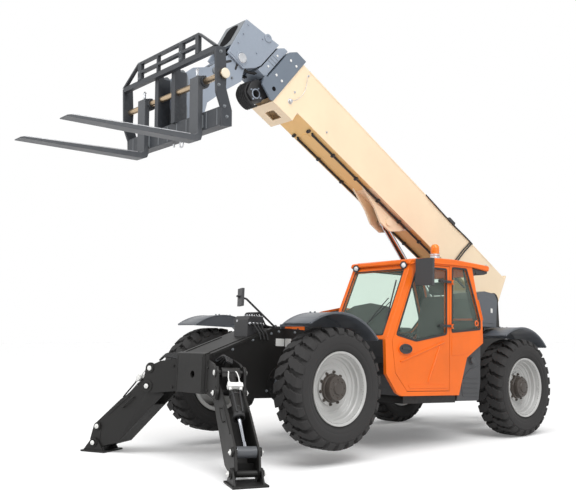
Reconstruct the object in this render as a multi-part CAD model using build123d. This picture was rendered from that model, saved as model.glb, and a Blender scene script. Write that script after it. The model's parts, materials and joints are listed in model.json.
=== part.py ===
"""Telescopic handler: four-wheel chassis, side cab, four-section boom, fork carriage, two front outriggers.

Machine frame, millimetres: X to the machine's left, Y to its rear, Z up square to the chassis. Y = 0 is the
front axle and Z = 0 touches the bottom of all four tyres. The machine is parked on its outriggers, which lift
its front by PARKED_PITCH, so every piece is turned about the rear axle just before it is written, and moved
so that the origin is at the middle of the base.
"""
from build123d import *
import os
from math import atan2, cos, degrees, hypot, radians, sin

os.makedirs("parts", exist_ok=True)

# ---------------------------------------------------------------- driving dimensions
WHEELBASE = 3440
PARKED_PITCH = 2.47          # degrees, front up
FIT_GAP = 0.3                # between pieces that seat on each other
PIN_GAP = 0.05               # radial, at turning pins
MOVE_GAP = 6                 # between moving pieces

# wheels and axles
TYRE_R = 633
TYRE_W = 405
TYRE_OUTER_X = 1259
RIM_SEAT_R = 352
RIM_FLANGE_R = 384
RIM_FLANGE_INSET = 19
RIM_WALL = 12
WHEEL_X = TYRE_OUTER_X - TYRE_W / 2
KINGPIN_X = 780
STEER_DEG = 35
SPINDLE_R = 45
AXLE_TUBE_R = 100

# chassis
FRAME_HALF = 290
FRAME_PLATE = 20
FRAME_FRONT_Y = -1000
FRAME_NOSE_HALF = 245
FRAME_TOP_Z = 1250
FRAME_BOTTOM_Z = 480
FRAME_REAR_Y = 4640
NOSE_DEPTH = 45
TOW_HOLE_R = 38
TOW_HOLE_X = 60
TOW_HOLE_Z = 727
PIVOT_Y = 4120
PIVOT_Z = 1860
PIVOT_PIN_R = 45
TOWER_R = 108

# boom, in its own frame: u forward from the pivot, h square to it
BOOM_ANGLE = 27.7            # at rest, above the chassis
BOOM_LOW = -2
BOOM_HIGH = 70
BOOM_HALF = 200
BOOM_BELOW = 73
BOOM_ABOVE = 518
BOOM_WALL = 10
BOOM_LENGTH = 4740
BOOM_TAIL = 200
SECTION_GAP = 15
SECTION_LIFT = 25            # extra room under the second section, above the lift cylinder's eye
SECTION_WALL = 8
SECTION_STROKE = 3450
END_SLANT = 0.2              # how far each section's end leans back per unit of height
PAD_GAP = 0.5
HEAD_PIN_U = 5367
HEAD_PIN_H = -81
HEAD_PIN_R = 50
NOSE_HALF = 200
NOSE_PLATE = 25

# lift cylinder
LIFT_LOW_Y = 3800
LIFT_LOW_Z = 880
LIFT_EYE_U = 2332
LIFT_EYE_H = -198
LIFT_DRIFT_U = 140           # how far the eye strays forward of its pin at full height
LIFT_BARREL_R = 78
LIFT_BORE_R = 66
LIFT_ROD_R = 45
LIFT_BARREL_LENGTH = 1800
LIFT_ROD_LENGTH = 1745
LIFT_FOOT_R = 72
LIFT_EYE_R = 50
LIFT_EYE_HALF = 60
LIFT_PIN_R = 35

# carriage and forks, in a level frame at the head pin: f forward, z up
SHAFT_F = 842
SHAFT_Z = -578
SHAFT_R = 32
CARRIAGE_X = (-830, 1000)
CARRIAGE_PLATE = 30
GUARD_X = (-490, 700)
GUARD_Y = (-940, -900)
GUARD_TOP_Z = -95
FORK_WIDTH = 150
FORK_THICK = 60
FORK_X = (-430, 600)
FORK_BOTTOM_Z = -1200
FORK_BLADE = 1380
BEAM_F = (740, 860)
BEAM_Z = (-1085, -900)
COUPLER_FACE_F = BEAM_F[0] - FIT_GAP

# outriggers, in the leg's plane: s outward from the machine's centre line, z up
SPLAY = 22.7
LEG_ORIGIN_Y = -729
LEG_S, LEG_Z = 759, 567
LEG_CYL_TOP = (735, 765)
LEG_CYL_FOOT = (1440, 80)
PAD_PIN = (1470, -104)
LEG_PLATE = 20
LEG_HALF = 120
LEG_RAISE_DEG = 95
PAD_HALF_S = 170
PAD_HALF_W = 168
PAD_PLATE = 20
LEG_PIN_R = 30
LEG_BARREL_R = 48
LEG_ROD_R = 22.5

# cab
CAB_LEFT_X = 1200
CAB_RIGHT_X = 300
CAB_WALL = 40
CAB_FLOOR_Z = 545
DOOR_GAP = 6
GLASS = 8

# engine side
POD_X = (-1180, -310)
POD_Y = (900, 2580)
POD_Z = (500, 1240)
POD_WALL = 30
HOOD_THICK = 40
HOOD_FALL = 0.25              # drop per unit of width, towards the machine's right

# fenders
FENDER_R = 770
FENDER_THICK = 20
FENDER_X = (800, 1210)

nodes = {}


# ---------------------------------------------------------------- shape helpers
def block(x0, x1, y0, y1, z0, z1):
    """A box between two corners."""
    return Pos((x0 + x1) / 2, (y0 + y1) / 2, (z0 + z1) / 2) * Box(abs(x1 - x0), abs(y1 - y0), abs(z1 - z0))


def side_plate(outline, x0, x1):
    """A plate whose outline is a list of (y, z) and whose thickness runs from x0 to x1."""
    wire = Polyline(*[(x0, y, z) for y, z in outline], close=True)
    return extrude(make_face(wire), amount=x1 - x0, dir=(1, 0, 0))


def bar_x(y, z, radius, x0, x1):
    """A round bar along X."""
    return Pos((x0 + x1) / 2, y, z) * Rot(0, 90, 0) * Cylinder(radius, abs(x1 - x0))


def bar_z(x, y, radius, z0, z1):
    """A round bar along Z."""
    return Pos(x, y, (z0 + z1) / 2) * Cylinder(radius, abs(z1 - z0))


def bar(start, end, radius):
    """A round bar between two points."""
    a, b = Vector(*start), Vector(*end)
    plane = Plane(origin=a, z_dir=(b - a))
    return plane * Pos(0, 0, (b - a).length / 2) * Cylinder(radius, (b - a).length)


def mirrored(shape):
    """The same shape on the machine's other side."""
    return mirror(shape, about=Plane.YZ)


def both_sides(shape):
    return [shape, mirrored(shape)]


def single(shapes):
    """One node from solids that stay apart."""
    return Compound(children=[s for shape in shapes for s in shape.solids()])


def turned_ring(profile):
    """A ring about the X axis from a list of (x, radius)."""
    wire = Polyline(*[(x, r, 0) for x, r in profile], close=True)
    return revolve(make_face(wire), axis=Axis.X)


# ---------------------------------------------------------------- frames of the boom and the carriage
def boom_point(u, h):
    """Machine (y, z) of a boom point u forward of the pivot and h above it."""
    a = radians(BOOM_ANGLE)
    return (PIVOT_Y - u * cos(a) + h * sin(a), PIVOT_Z + u * sin(a) + h * cos(a))


def boom_place(shape):
    """Turn a shape drawn with the boom level and its pivot at the origin into the boom's place."""
    return Pos(0, PIVOT_Y, PIVOT_Z) * Rot(-BOOM_ANGLE, 0, 0) * shape


def boom_plate(outline, x0, x1):
    """A plate from (u, h) points, still in the level boom frame."""
    return side_plate([(-u, h) for u, h in outline], x0, x1)


def boom_box(half, u0, u1, h0, h1):
    return block(-half, half, -u1, -u0, h0, h1)


HEAD_Y, HEAD_Z = boom_point(HEAD_PIN_U, HEAD_PIN_H)


def level_place(shape):
    """Turn a shape drawn level about the head pin into its place, level with the ground it parks on."""
    return Pos(0, HEAD_Y, HEAD_Z) * Rot(PARKED_PITCH, 0, 0) * shape


def level_plate(outline, x0, x1):
    """A plate from (f, z) points, f forward of the head pin."""
    return side_plate([(-f, z) for f, z in outline], x0, x1)


# ---------------------------------------------------------------- chassis
def chassis_frame():
    """Two deep side plates, decks, the boom tower with its pin, cab rails and outrigger brackets."""
    deck_front = (FRAME_FRONT_Y, 940)
    deck_back = (-160, FRAME_TOP_Z)
    outline = [
        (FRAME_FRONT_Y, 530), (-430, FRAME_BOTTOM_Z), (3900, FRAME_BOTTOM_Z), (FRAME_REAR_Y, 620),
        (FRAME_REAR_Y, 1150), (4270, 1400), (PIVOT_Y + TOWER_R, PIVOT_Z), (PIVOT_Y - TOWER_R, PIVOT_Z),
        (3720, FRAME_TOP_Z), deck_back, deck_front,
    ]
    inner = FRAME_HALF - FRAME_PLATE
    plate = side_plate(outline, inner, FRAME_HALF)
    plate += bar_x(PIVOT_Y, PIVOT_Z, TOWER_R, inner, FRAME_HALF)
    for axle_y in (0, WHEELBASE):
        plate -= bar_x(axle_y, TYRE_R, AXLE_TUBE_R + FIT_GAP, inner - 1, FRAME_HALF + 1)
    frame = plate + mirrored(plate)

    # decks and cross plates between the side plates
    frame += side_plate([deck_front, deck_back, (350, FRAME_TOP_Z), (350, FRAME_TOP_Z - FRAME_PLATE),
                         (-157, FRAME_TOP_Z - FRAME_PLATE), (FRAME_FRONT_Y, 919)], -inner, inner)
    frame += side_plate([(FRAME_FRONT_Y, 530), (-430, FRAME_BOTTOM_Z), (-200, FRAME_BOTTOM_Z),
                         (-200, FRAME_BOTTOM_Z + FRAME_PLATE), (-430, FRAME_BOTTOM_Z + FRAME_PLATE),
                         (FRAME_FRONT_Y, 550)], -inner, inner)
    frame += block(-inner, inner, 350 - FRAME_PLATE, 350, 800, FRAME_TOP_Z)
    for y0, y1 in ((200, 3100), (3690, 4020)):
        frame += block(-inner, inner, y0, y1, FRAME_BOTTOM_Z, FRAME_BOTTOM_Z + FRAME_PLATE)
    frame += block(-inner, inner, FRAME_REAR_Y - FRAME_PLATE, FRAME_REAR_Y, 620, 1150)

    # blunt nose: a narrower front plate with bevels either side
    nose = Polyline((-FRAME_HALF, FRAME_FRONT_Y), (-FRAME_NOSE_HALF, FRAME_FRONT_Y - NOSE_DEPTH),
                    (FRAME_NOSE_HALF, FRAME_FRONT_Y - NOSE_DEPTH), (FRAME_HALF, FRAME_FRONT_Y), close=True)
    frame += Pos(0, 0, 530) * extrude(make_face(nose), amount=410)
    frame -= Pos(TOW_HOLE_X, FRAME_FRONT_Y, TOW_HOLE_Z) * Rot(90, 0, 0) * Cylinder(TOW_HOLE_R, 4 * NOSE_DEPTH)

    # boom pivot pin
    frame += bar_x(PIVOT_Y, PIVOT_Z, PIVOT_PIN_R, -FRAME_HALF - 20, FRAME_HALF + 20)

    # lugs and pin of the lift cylinder's foot
    lug = side_plate([(LIFT_LOW_Y - 90, FRAME_BOTTOM_Z), (LIFT_LOW_Y + 190, FRAME_BOTTOM_Z),
                      (LIFT_LOW_Y + 70, LIFT_LOW_Z + 60), (LIFT_LOW_Y - 70, LIFT_LOW_Z + 60)],
                     LIFT_EYE_HALF + MOVE_GAP, LIFT_EYE_HALF + MOVE_GAP + 30)
    for lug_side in both_sides(lug):
        frame += lug_side
    frame += bar_x(LIFT_LOW_Y, LIFT_LOW_Z, LIFT_PIN_R, -120, 120)

    # rails under the cab and under the engine pod
    for rail_y in (1090, 1900):
        frame += block(FRAME_HALF, 1140, rail_y, rail_y + 100, 455, CAB_FLOOR_Z)
    frame += block(1080, 1140, 1090, 2050, 455, CAB_FLOOR_Z)
    for rail_y in (1050, 2250):
        frame += block(-1140, -FRAME_HALF, rail_y, rail_y + 100, 440, POD_Z[0])

    # ears that carry the outriggers
    for ear in outrigger_ears():
        for ear_side in both_sides(ear):
            frame += ear_side
    return frame


# ---------------------------------------------------------------- outriggers
def leg_place(shape):
    """Turn a shape drawn in the leg's frame (x outward, y to the rear, z up) into the left leg's place."""
    return Pos(0, LEG_ORIGIN_Y, 0) * Rot(0, 0, -SPLAY) * shape


def leg_plate(outline, w0, w1):
    """A plate from (s, z) points whose thickness runs across the leg from w0 to w1."""
    wire = Polyline(*[(s, w0, z) for s, z in outline], close=True)
    return extrude(make_face(wire), amount=w1 - w0, dir=(0, 1, 0))


def leg_bar(s, z, radius, w0, w1):
    return Pos(s, (w0 + w1) / 2, z) * Rot(90, 0, 0) * Cylinder(radius, abs(w1 - w0))


EAR_IN = LEG_HALF + MOVE_GAP
EAR_OUT = EAR_IN + 24
LEG_TOP_PIN_R = 24


def outrigger_ears():
    """Two plates on each side of the nose, outside the leg, and the pin of the cylinder's top eye."""
    ears = []
    for w0, w1 in ((EAR_IN, EAR_OUT), (-EAR_OUT, -EAR_IN)):
        ear = leg_plate([(250, 545), (640, 500), (LEG_S, LEG_Z - 70), (LEG_S + 62, LEG_Z + 30),
                         (LEG_CYL_TOP[0] + 60, LEG_CYL_TOP[1]), (600, 850), (250, 900)], w0, w1)
        ear += leg_bar(LEG_S, LEG_Z, 70, w0, w1)
        ear += leg_bar(*LEG_CYL_TOP, 62, w0, w1)
        ear -= leg_bar(LEG_S, LEG_Z, LEG_PIN_R + PIN_GAP, w0 - 1, w1 + 1)
        ears.append(leg_place(ear))
    pin = leg_bar(*LEG_CYL_TOP, LEG_TOP_PIN_R, -EAR_OUT, EAR_OUT)
    ears.append(leg_place(pin))
    return ears


def outrigger_leg():
    """A channel: two side plates, a web along the lower side, the pivot pin and the pad's pin."""
    sides = []
    outline = [(560, 489), (700, 680), (905, 560), (1145, 398), (1500, 95), (1545, -70), (PAD_PIN[0], -178),
               (1405, -150), (1140, -75)]
    for w0, w1 in ((LEG_HALF - LEG_PLATE, LEG_HALF), (-LEG_HALF, -LEG_HALF + LEG_PLATE)):
        sides.append(leg_plate(outline, w0, w1))
    inner = LEG_HALF - LEG_PLATE
    leg = sides[0] + sides[1]
    leg += leg_plate([(690, 363), (1140, -75), (1400, -149), (1400, -129), (1150, -57), (704, 377)], -inner, inner)
    leg += leg_plate([(1330, -40), (1340, -120), (1360, -126), (1350, -30)], -inner, inner)
    leg += leg_bar(LEG_S, LEG_Z, LEG_PIN_R, -EAR_OUT - 22, EAR_OUT + 22)
    leg += leg_bar(*PAD_PIN, LEG_PIN_R, -PAD_HALF_W + 2, PAD_HALF_W - 2)
    for end in (1, -1):
        leg += leg_bar(*LEG_CYL_FOOT, 32, end * LEG_HALF, end * (LEG_HALF + 26))
    return leg_place(leg)


def cylinder_pair(span, barrel_r, bore_r, rod_r, barrel_length, rod_length, foot_r, eye_r, eye_half, pin_r,
                  cross_half):
    """Barrel and rod along Z with eyes across Y: the barrel's at the origin, the rod's at z = span."""
    eye_thick = 2 * eye_half
    tube_start = foot_r * 1.6
    barrel = Pos(0, 0, (tube_start + barrel_length) / 2) * Cylinder(barrel_r, barrel_length - tube_start)
    barrel += Rot(90, 0, 0) * Cylinder(foot_r, eye_thick)
    barrel += Pos(0, 0, tube_start / 2) * Box(1.2 * foot_r, eye_thick, tube_start)
    bore_start = tube_start + 20
    barrel -= Pos(0, 0, (bore_start + barrel_length) / 2) * Cylinder(bore_r, barrel_length - bore_start)
    gland = Pos(0, 0, barrel_length - 45) * Cylinder(barrel_r + 7, 90)
    gland -= Pos(0, 0, barrel_length - 45) * Cylinder(rod_r + FIT_GAP, 92)
    barrel += gland
    barrel -= Rot(90, 0, 0) * Cylinder(pin_r + PIN_GAP, eye_thick + 2)
    rod = Pos(0, 0, span - rod_length / 2) * Cylinder(rod_r, rod_length)
    rod += Pos(0, 0, span - rod_length + 30) * Cylinder(bore_r - FIT_GAP, 60)
    rod += Pos(0, 0, span) * Rot(90, 0, 0) * Cylinder(eye_r, eye_thick)
    rod += Pos(0, 0, span - eye_r * 1.3) * Cylinder(rod_r * 1.1, eye_r * 1.4)
    rod += Pos(0, 0, span) * Rot(90, 0, 0) * Cylinder(eye_r * 0.55, 2 * cross_half)
    return barrel, rod


def aim(top, foot):
    """Place a cylinder drawn along Z so that it runs from top to foot in the X-Z plane."""
    angle = degrees(atan2(foot[0] - top[0], foot[1] - top[1]))
    return Pos(top[0], 0, top[1]) * Rot(0, angle, 0)


LEG_BARREL_LENGTH = 580
LEG_ROD_LENGTH = 575


def outrigger_cylinder():
    span = hypot(LEG_CYL_FOOT[0] - LEG_CYL_TOP[0], LEG_CYL_FOOT[1] - LEG_CYL_TOP[1])
    eye_half = LEG_HALF - LEG_PLATE - MOVE_GAP
    barrel, rod = cylinder_pair(span, LEG_BARREL_R, LEG_BARREL_R - 10, LEG_ROD_R, LEG_BARREL_LENGTH, LEG_ROD_LENGTH,
                                50, 50, eye_half, LEG_TOP_PIN_R, eye_half)
    placed = aim(LEG_CYL_TOP, LEG_CYL_FOOT)
    return leg_place(placed * barrel), leg_place(placed * rod)


def to_ground(shape):
    """Park a shape: turn it about the rear axle by the parked pitch."""
    return Pos(0, WHEELBASE, TYRE_R) * Rot(-PARKED_PITCH, 0, 0) * Pos(0, -WHEELBASE, -TYRE_R) * shape


def from_ground(shape):
    return Pos(0, WHEELBASE, TYRE_R) * Rot(PARKED_PITCH, 0, 0) * Pos(0, -WHEELBASE, -TYRE_R) * shape


def outrigger_pad():
    """A foot plate that lies flat on the ground, with two gussets that hold the leg's lower pin."""
    gussets = []
    w0 = LEG_HALF + MOVE_GAP
    w1 = w0 + 16
    s, z = PAD_PIN
    for a, b in ((w0, w1), (-w1, -w0)):
        gusset = leg_plate([(s - 145, z - 88), (s - 50, z + 30), (s - 20, z + 52), (s + 20, z + 52),
                            (s + 50, z + 30), (s + 145, z - 88)], a, b)
        gusset -= leg_bar(s, z, LEG_PIN_R + PIN_GAP, a - 1, b + 1)
        gussets.append(leg_place(gusset))
    # the plate is level with the ground, so it is drawn there under the pin
    pin_at = leg_place(Pos(s, 0, z) * Box(1, 1, 1)).center()
    parked = to_ground(Pos(pin_at.X, pin_at.Y, pin_at.Z) * Box(1, 1, 1)).center()
    plate = Pos(parked.X, parked.Y, 0) * Rot(0, 0, -SPLAY) * block(-PAD_HALF_S, PAD_HALF_S, -PAD_HALF_W,
                                                                 PAD_HALF_W, 0, PAD_PLATE)
    pad = from_ground(plate)
    for gusset in gussets:
        pad += gusset
    return pad


# ---------------------------------------------------------------- axles, knuckles, wheels
def axle(y, cylinder_side):
    """Beam with a central case, and a yoke at each end that holds the knuckle's kingpin."""
    beam = bar_x(y, TYRE_R, AXLE_TUBE_R, -KINGPIN_X + 110, KINGPIN_X - 110)
    beam += bar_x(y, TYRE_R, 128, -125, 125)
    beam += bar_x(y, TYRE_R, 148, -80, 80)
    for side in (1, -1):
        x = side * KINGPIN_X
        beam += block(side * (KINGPIN_X - 150), side * (KINGPIN_X - 95), y - 75, y + 75, TYRE_R - 165, TYRE_R + 165)
        for z0, z1 in ((TYRE_R + 130, TYRE_R + 165), (TYRE_R - 165, TYRE_R - 130)):
            beam += block(side * (KINGPIN_X - 150), x, y - 60, y + 60, z0, z1)
            beam += bar_z(x, y, 60, z0, z1)
            beam -= bar_z(x, y, 30 + PIN_GAP, z0 - 1, z1 + 1)
    # steering cylinder along the beam
    beam += bar_x(y + cylinder_side * 170, TYRE_R, 38, -240, 240)
    return beam


def knuckle(y):
    """Left knuckle: swivel block, its kingpins, the spindle boss and the spindle, and a steering arm."""
    z = TYRE_R
    part = bar_z(KINGPIN_X, y, 85, z - 124, z + 124)
    part += bar_z(KINGPIN_X, y, 30, z - 170, z + 170)
    part += bar_x(y, z, 118, KINGPIN_X, WHEEL_X - 76)
    part += bar_x(y, z, SPINDLE_R, KINGPIN_X, WHEEL_X + 60)
    part += block(KINGPIN_X - 25, KINGPIN_X + 25, y + 70, y + 215, z - 30, z + 10)
    return part


def tyre():
    """Solid tyre ring about the X axis, its outer face towards +X."""
    half = TYRE_W / 2
    bead = half - RIM_FLANGE_INSET - 18
    right = [(bead, RIM_SEAT_R), (bead, RIM_FLANGE_R + 6), (half - 12, RIM_FLANGE_R + 48),
             (half, RIM_FLANGE_R + 115), (half - 4, TYRE_R - 75), (half - 17, TYRE_R - 36),
             (half - 34, TYRE_R - 12), (half - 80, TYRE_R)]
    left = [(-x, r) for x, r in reversed(right)]
    return turned_ring(right + left)


def rim():
    """Barrel with two flanges, a dished disc, the hub's flange and the hub, bored for the spindle."""
    flange = TYRE_W / 2 - RIM_FLANGE_INSET
    bead = flange - 18
    seat = RIM_SEAT_R - FIT_GAP
    profile = [(-flange, seat - RIM_WALL), (-flange, RIM_FLANGE_R), (-bead - FIT_GAP, RIM_FLANGE_R),
               (-bead - FIT_GAP, seat), (bead + FIT_GAP, seat), (bead + FIT_GAP, RIM_FLANGE_R),
               (flange, RIM_FLANGE_R), (flange, seat - RIM_WALL), (90, seat - RIM_WALL), (40, 285),
               (22, 240), (22, 185), (45, 185), (45, 140), (118, 132), (132, 118), (132, 0), (90, 0),
               (90, SPINDLE_R + PIN_GAP), (-70, SPINDLE_R + PIN_GAP), (-70, 140), (2, 150), (2, 245),
               (20, 295), (66, seat - RIM_WALL)]
    return turned_ring(profile)


def wheel_place(shape, y):
    return Pos(WHEEL_X, y, TYRE_R) * shape


# ---------------------------------------------------------------- boom
def section_size(number):
    """Half width, lowest and highest h of section number 0 (outer) to 3."""
    step = (SECTION_GAP + BOOM_WALL) if number else 0
    step += (number - 1) * (SECTION_GAP + SECTION_WALL) if number > 1 else 0
    lift = SECTION_LIFT if number else 0
    return BOOM_HALF - step, -BOOM_BELOW + step + lift, BOOM_ABOVE - step


def slanted(u, h):
    """A boom point on an end face that leans back with height."""
    return (u - END_SLANT * h, h)


def tube(number, front, rear, wall):
    """Box section with a slanted front end; rear is a plain cut."""
    half, low, high = section_size(number)
    body = boom_plate([(rear, low), slanted(front, low), slanted(front, high), (rear, high)], -half, half)
    core = boom_plate([(rear - 1, low + wall), (front + 200, low + wall), (front + 200, high - wall),
                       (rear - 1, high - wall)], -half + wall, half - wall)
    return body - core


def wear_pads(number, rear):
    """Blocks at a section's rear end that slide inside the section around it."""
    half, low, high = section_size(number)
    reach = SECTION_GAP - PAD_GAP
    below = reach + (SECTION_LIFT if number == 1 else 0)
    pads = [block(-60, 60, -rear - 160, -rear - 20, high, high + reach),
            block(-60, 60, -rear - 160, -rear - 20, low - below, low)]
    middle = (low + high) / 2
    for side in (1, -1):
        pads.append(block(side * half, side * (half + reach), -rear - 160, -rear - 20, middle - 60, middle + 60))
    return pads


def boom_outer():
    half, low, high = section_size(0)
    body = tube(0, BOOM_LENGTH - 15, -BOOM_TAIL, BOOM_WALL)
    # end plate and top lip at the tail
    body += boom_plate([(-BOOM_TAIL - 25, low - 25), (-BOOM_TAIL, low - 25), (-BOOM_TAIL, high + 55),
                        (-BOOM_TAIL - 25, high + 55)], -half, half)
    body -= boom_box(half - 60, -BOOM_TAIL - 30, -BOOM_TAIL + 5, low + 60, high - 60)
    # deeper mouth under the front end, open in front, with a window below
    mouth = boom_plate([slanted(BOOM_LENGTH - 15, low), slanted(BOOM_LENGTH - 15, -203), (4413, -203), (4400, low)],
                       -half, half)
    mouth -= boom_box(half - BOOM_WALL, 4425, BOOM_LENGTH + 80, -203 + BOOM_WALL, low + 1)
    mouth -= boom_box(80, 4500, 4640, -210, -190)
    body += mouth
    # pivot bosses
    for side in (1, -1):
        body += bar_x(0, 0, 90, side * (half - BOOM_WALL), side * (FRAME_HALF - FRAME_PLATE - MOVE_GAP))
    body -= bar_x(0, 0, PIVOT_PIN_R + PIN_GAP, -FRAME_HALF, FRAME_HALF)
    # window above the rod's eye, and its lugs, open between them
    body -= boom_box(LIFT_EYE_HALF + 8, LIFT_EYE_U - 110, LIFT_EYE_U + LIFT_DRIFT_U + 75, low - 1, low + BOOM_WALL + 1)
    lug_in = LIFT_EYE_HALF + 12
    u, h = LIFT_EYE_U, LIFT_EYE_H
    for side in (1, -1):
        lug = boom_plate([(u + 640, low), (u + 300, -190), (u + 120, h - 95), (u - 90, h - 95), (u - 250, h + 20),
                          (u - 330, low)], side * lug_in, side * (lug_in + 30))
        body += lug
        body += bar_x(-u, h, 58, side * (lug_in + 30), side * (lug_in + 48))
    return boom_place(body)


def collar(number, rear, front, low, high, half):
    """Block around a section's mouth with slanted faces, left open for the next section."""
    inner_half, inner_low, inner_high = section_size(number + 1)
    body = boom_plate([slanted(rear, low), slanted(front, low), slanted(front, high - 90),
                       slanted(front - 70, high), slanted(rear, high)], -half, half)
    body -= boom_box(inner_half + MOVE_GAP, rear - 300, front + 300, inner_low - MOVE_GAP, inner_high + MOVE_GAP)
    return body


def boom_second():
    half, low, high = section_size(1)
    body = tube(1, BOOM_LENGTH, 200, SECTION_WALL)
    body += collar(1, BOOM_LENGTH - 15 + MOVE_GAP, BOOM_LENGTH + 232, low - 25, high + 70, half + 45)
    # side plates that reach below the mouth
    for side in (1, -1):
        body += boom_plate([slanted(BOOM_LENGTH - 9, -205), slanted(BOOM_LENGTH + 20, -225), (5000, -150),
                            (5018, -70), (5010, low), slanted(BOOM_LENGTH - 9, low)],
                           side * (half + 20), side * (half + 45))
    for pad in wear_pads(1, 200):
        body += pad
    return boom_place(body)


def boom_third():
    half, low, high = section_size(2)
    body = tube(2, BOOM_LENGTH + 250, 300, SECTION_WALL)
    body += collar(2, BOOM_LENGTH + 232 + MOVE_GAP + 4, BOOM_LENGTH + 372, low - 20, high + 25, half + 30)
    for pad in wear_pads(2, 300):
        body += pad
    return boom_place(body)


def boom_fourth():
    """Innermost section with the boom's nose: two thick cheeks, a roof and a front plate with an oval hole."""
    half, low, high = section_size(3)
    body = tube(3, BOOM_LENGTH + 560, 400, SECTION_WALL)
    back = BOOM_LENGTH + 372 + MOVE_GAP + 6
    cheek = [(5550, 365), (5550, -163), (5290, -170), slanted(back + 30, -40), slanted(back, 40), slanted(back, 450)]
    for side in (1, -1):
        body += boom_plate(cheek, side * (NOSE_HALF - NOSE_PLATE), side * NOSE_HALF)
    inner = NOSE_HALF - NOSE_PLATE
    body += boom_plate([(5550, 365), (5550, 340), slanted(back, 425), slanted(back, 450)], -inner, inner)
    front = boom_plate([(5550, 352), (5550, -26), (5525, -26), (5525, 358)], -inner, inner)
    oval = Plane(origin=(0, -5500, 155), x_dir=(0, 0, 1), z_dir=(0, -1, 0)) * SlotCenterToCenter(90, 170)
    front -= extrude(oval, amount=100)
    body += front
    # ring that joins the cheeks to the section
    ring = boom_plate([slanted(back, 40), slanted(back + 40, 40), slanted(back + 40, 430), slanted(back, 430)],
                      -inner, inner)
    body += ring - boom_box(half - SECTION_WALL, 4900, 5600, low + SECTION_WALL, high - SECTION_WALL)
    body -= bar_x(-HEAD_PIN_U, HEAD_PIN_H, HEAD_PIN_R + PIN_GAP, -NOSE_HALF - 30, NOSE_HALF + 30)
    for pad in wear_pads(3, 400):
        body += pad
    return boom_place(body)


def hose_carrier():
    """Black bracket that hangs under the second section's mouth and carries the hoses."""
    low = section_size(1)[1] - 25 - FIT_GAP
    outline = [slanted(4790, low), slanted(4965, low), (5035, low - 20), (5085, -160), (5065, -300), (4960, -330),
               (4850, -270)]
    bracket = boom_plate(outline, -110, 110)
    bracket -= bar_x(-4960, -235, 45, -111, 111)
    return boom_place(bracket)


def tilt_pin():
    """Pin through the boom's nose, with a cap at each end."""
    pin = bar_x(0, 0, HEAD_PIN_R, -NOSE_HALF - 12, NOSE_HALF + 12)
    for side in (1, -1):
        pin += bar_x(0, 0, HEAD_PIN_R + 8, side * (NOSE_HALF + 1), side * (NOSE_HALF + 14))
    return level_place(pin)


def lift_cylinder():
    eye_y, eye_z = boom_point(LIFT_EYE_U, LIFT_EYE_H)
    span = hypot(eye_y - LIFT_LOW_Y, eye_z - LIFT_LOW_Z)
    barrel, rod = cylinder_pair(span, LIFT_BARREL_R, LIFT_BORE_R, LIFT_ROD_R, LIFT_BARREL_LENGTH, LIFT_ROD_LENGTH,
                                LIFT_FOOT_R, LIFT_EYE_R, LIFT_EYE_HALF, LIFT_PIN_R, LIFT_EYE_HALF)
    angle = degrees(atan2(eye_y - LIFT_LOW_Y, eye_z - LIFT_LOW_Z))
    placed = Pos(0, LIFT_LOW_Y, LIFT_LOW_Z) * Rot(-angle, 0, 0) * Rot(0, 0, 90)
    return placed * barrel, placed * rod


# ---------------------------------------------------------------- coupler, carriage, forks
def coupler():
    """Quick coupler: two cheeks on the head pin, joined by a hook tube above and a lock tube below."""
    out = NOSE_HALF - NOSE_PLATE - MOVE_GAP
    outline = [(-90, -40), (-40, -148), (-18, -259), (206, -410), (450, -600), (560, -985), (COUPLER_FACE_F, -985),
               (COUPLER_FACE_F, -330), (640, -250), (420, -190), (110, 50), (0, 90), (-70, 60)]
    plates = []
    for side in (1, -1):
        plate = level_plate(outline, side * (out - 28), side * out)
        plate -= bar_x(0, 0, HEAD_PIN_R + PIN_GAP, -out - 1, out + 1)
        plates.append(plate)
    body = plates[0] + plates[1]
    for f, z, r in ((650, -320, 40), (640, -930, 40), (350, -220, 45)):
        body += bar_x(-f, z, r, -out + 14, out - 14)
    return level_place(body)


def carriage_frame():
    """Side plates, top rail, lower beam and two posts, with the load guard on top."""
    side = [(820, -300), (805, -600), (811, -709), (737, -928), (737, -1085), (855, -1101), (863, -917),
            (923, -770), (936, -315)]
    right, left = CARRIAGE_X
    frame = level_plate(side, right, right + CARRIAGE_PLATE)
    frame += level_plate(side, left - CARRIAGE_PLATE, left)
    inner = (right + CARRIAGE_PLATE, left - CARRIAGE_PLATE)
    frame += block(*inner, -936, -880, -355, -300)
    frame += block(*inner, -BEAM_F[1], -BEAM_F[0], *BEAM_Z)
    for x in (-165, 165):
        frame += block(x - 35, x + 35, -888, -740, -905, -345)
        frame += block(x - 35, x + 35, -888, -820, -345, -300)
    frame += load_guard()
    frame -= bar_x(-SHAFT_F, SHAFT_Z, SHAFT_R + FIT_GAP, right - 1, left + 1)
    return level_place(frame)


def load_guard():
    """Two bars on four uprights, with a slant from each end down to the carriage's sides."""
    right, left = GUARD_X
    guard = block(right, left, *GUARD_Y, GUARD_TOP_Z - 30, GUARD_TOP_Z)
    guard += block(right, left, *GUARD_Y, GUARD_TOP_Z - 135, GUARD_TOP_Z - 103)
    for x, width in ((right + 38, 75), (-80, 26), (375, 70), (left - 28, 56)):
        guard += block(x - width / 2, x + width / 2, *GUARD_Y, -305, GUARD_TOP_Z - 5)
    for end, corner, inward in ((right, CARRIAGE_X[0], 1), (left, CARRIAGE_X[1], -1)):
        slant = Polyline((end, GUARD_Y[0], GUARD_TOP_Z), (end + inward * 30, GUARD_Y[0], GUARD_TOP_Z),
                         (corner + inward * 45, GUARD_Y[0], -305), (corner, GUARD_Y[0], -305), close=True)
        guard += extrude(make_face(slant), amount=GUARD_Y[1] - GUARD_Y[0], dir=(0, 1, 0))
    return guard


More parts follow.
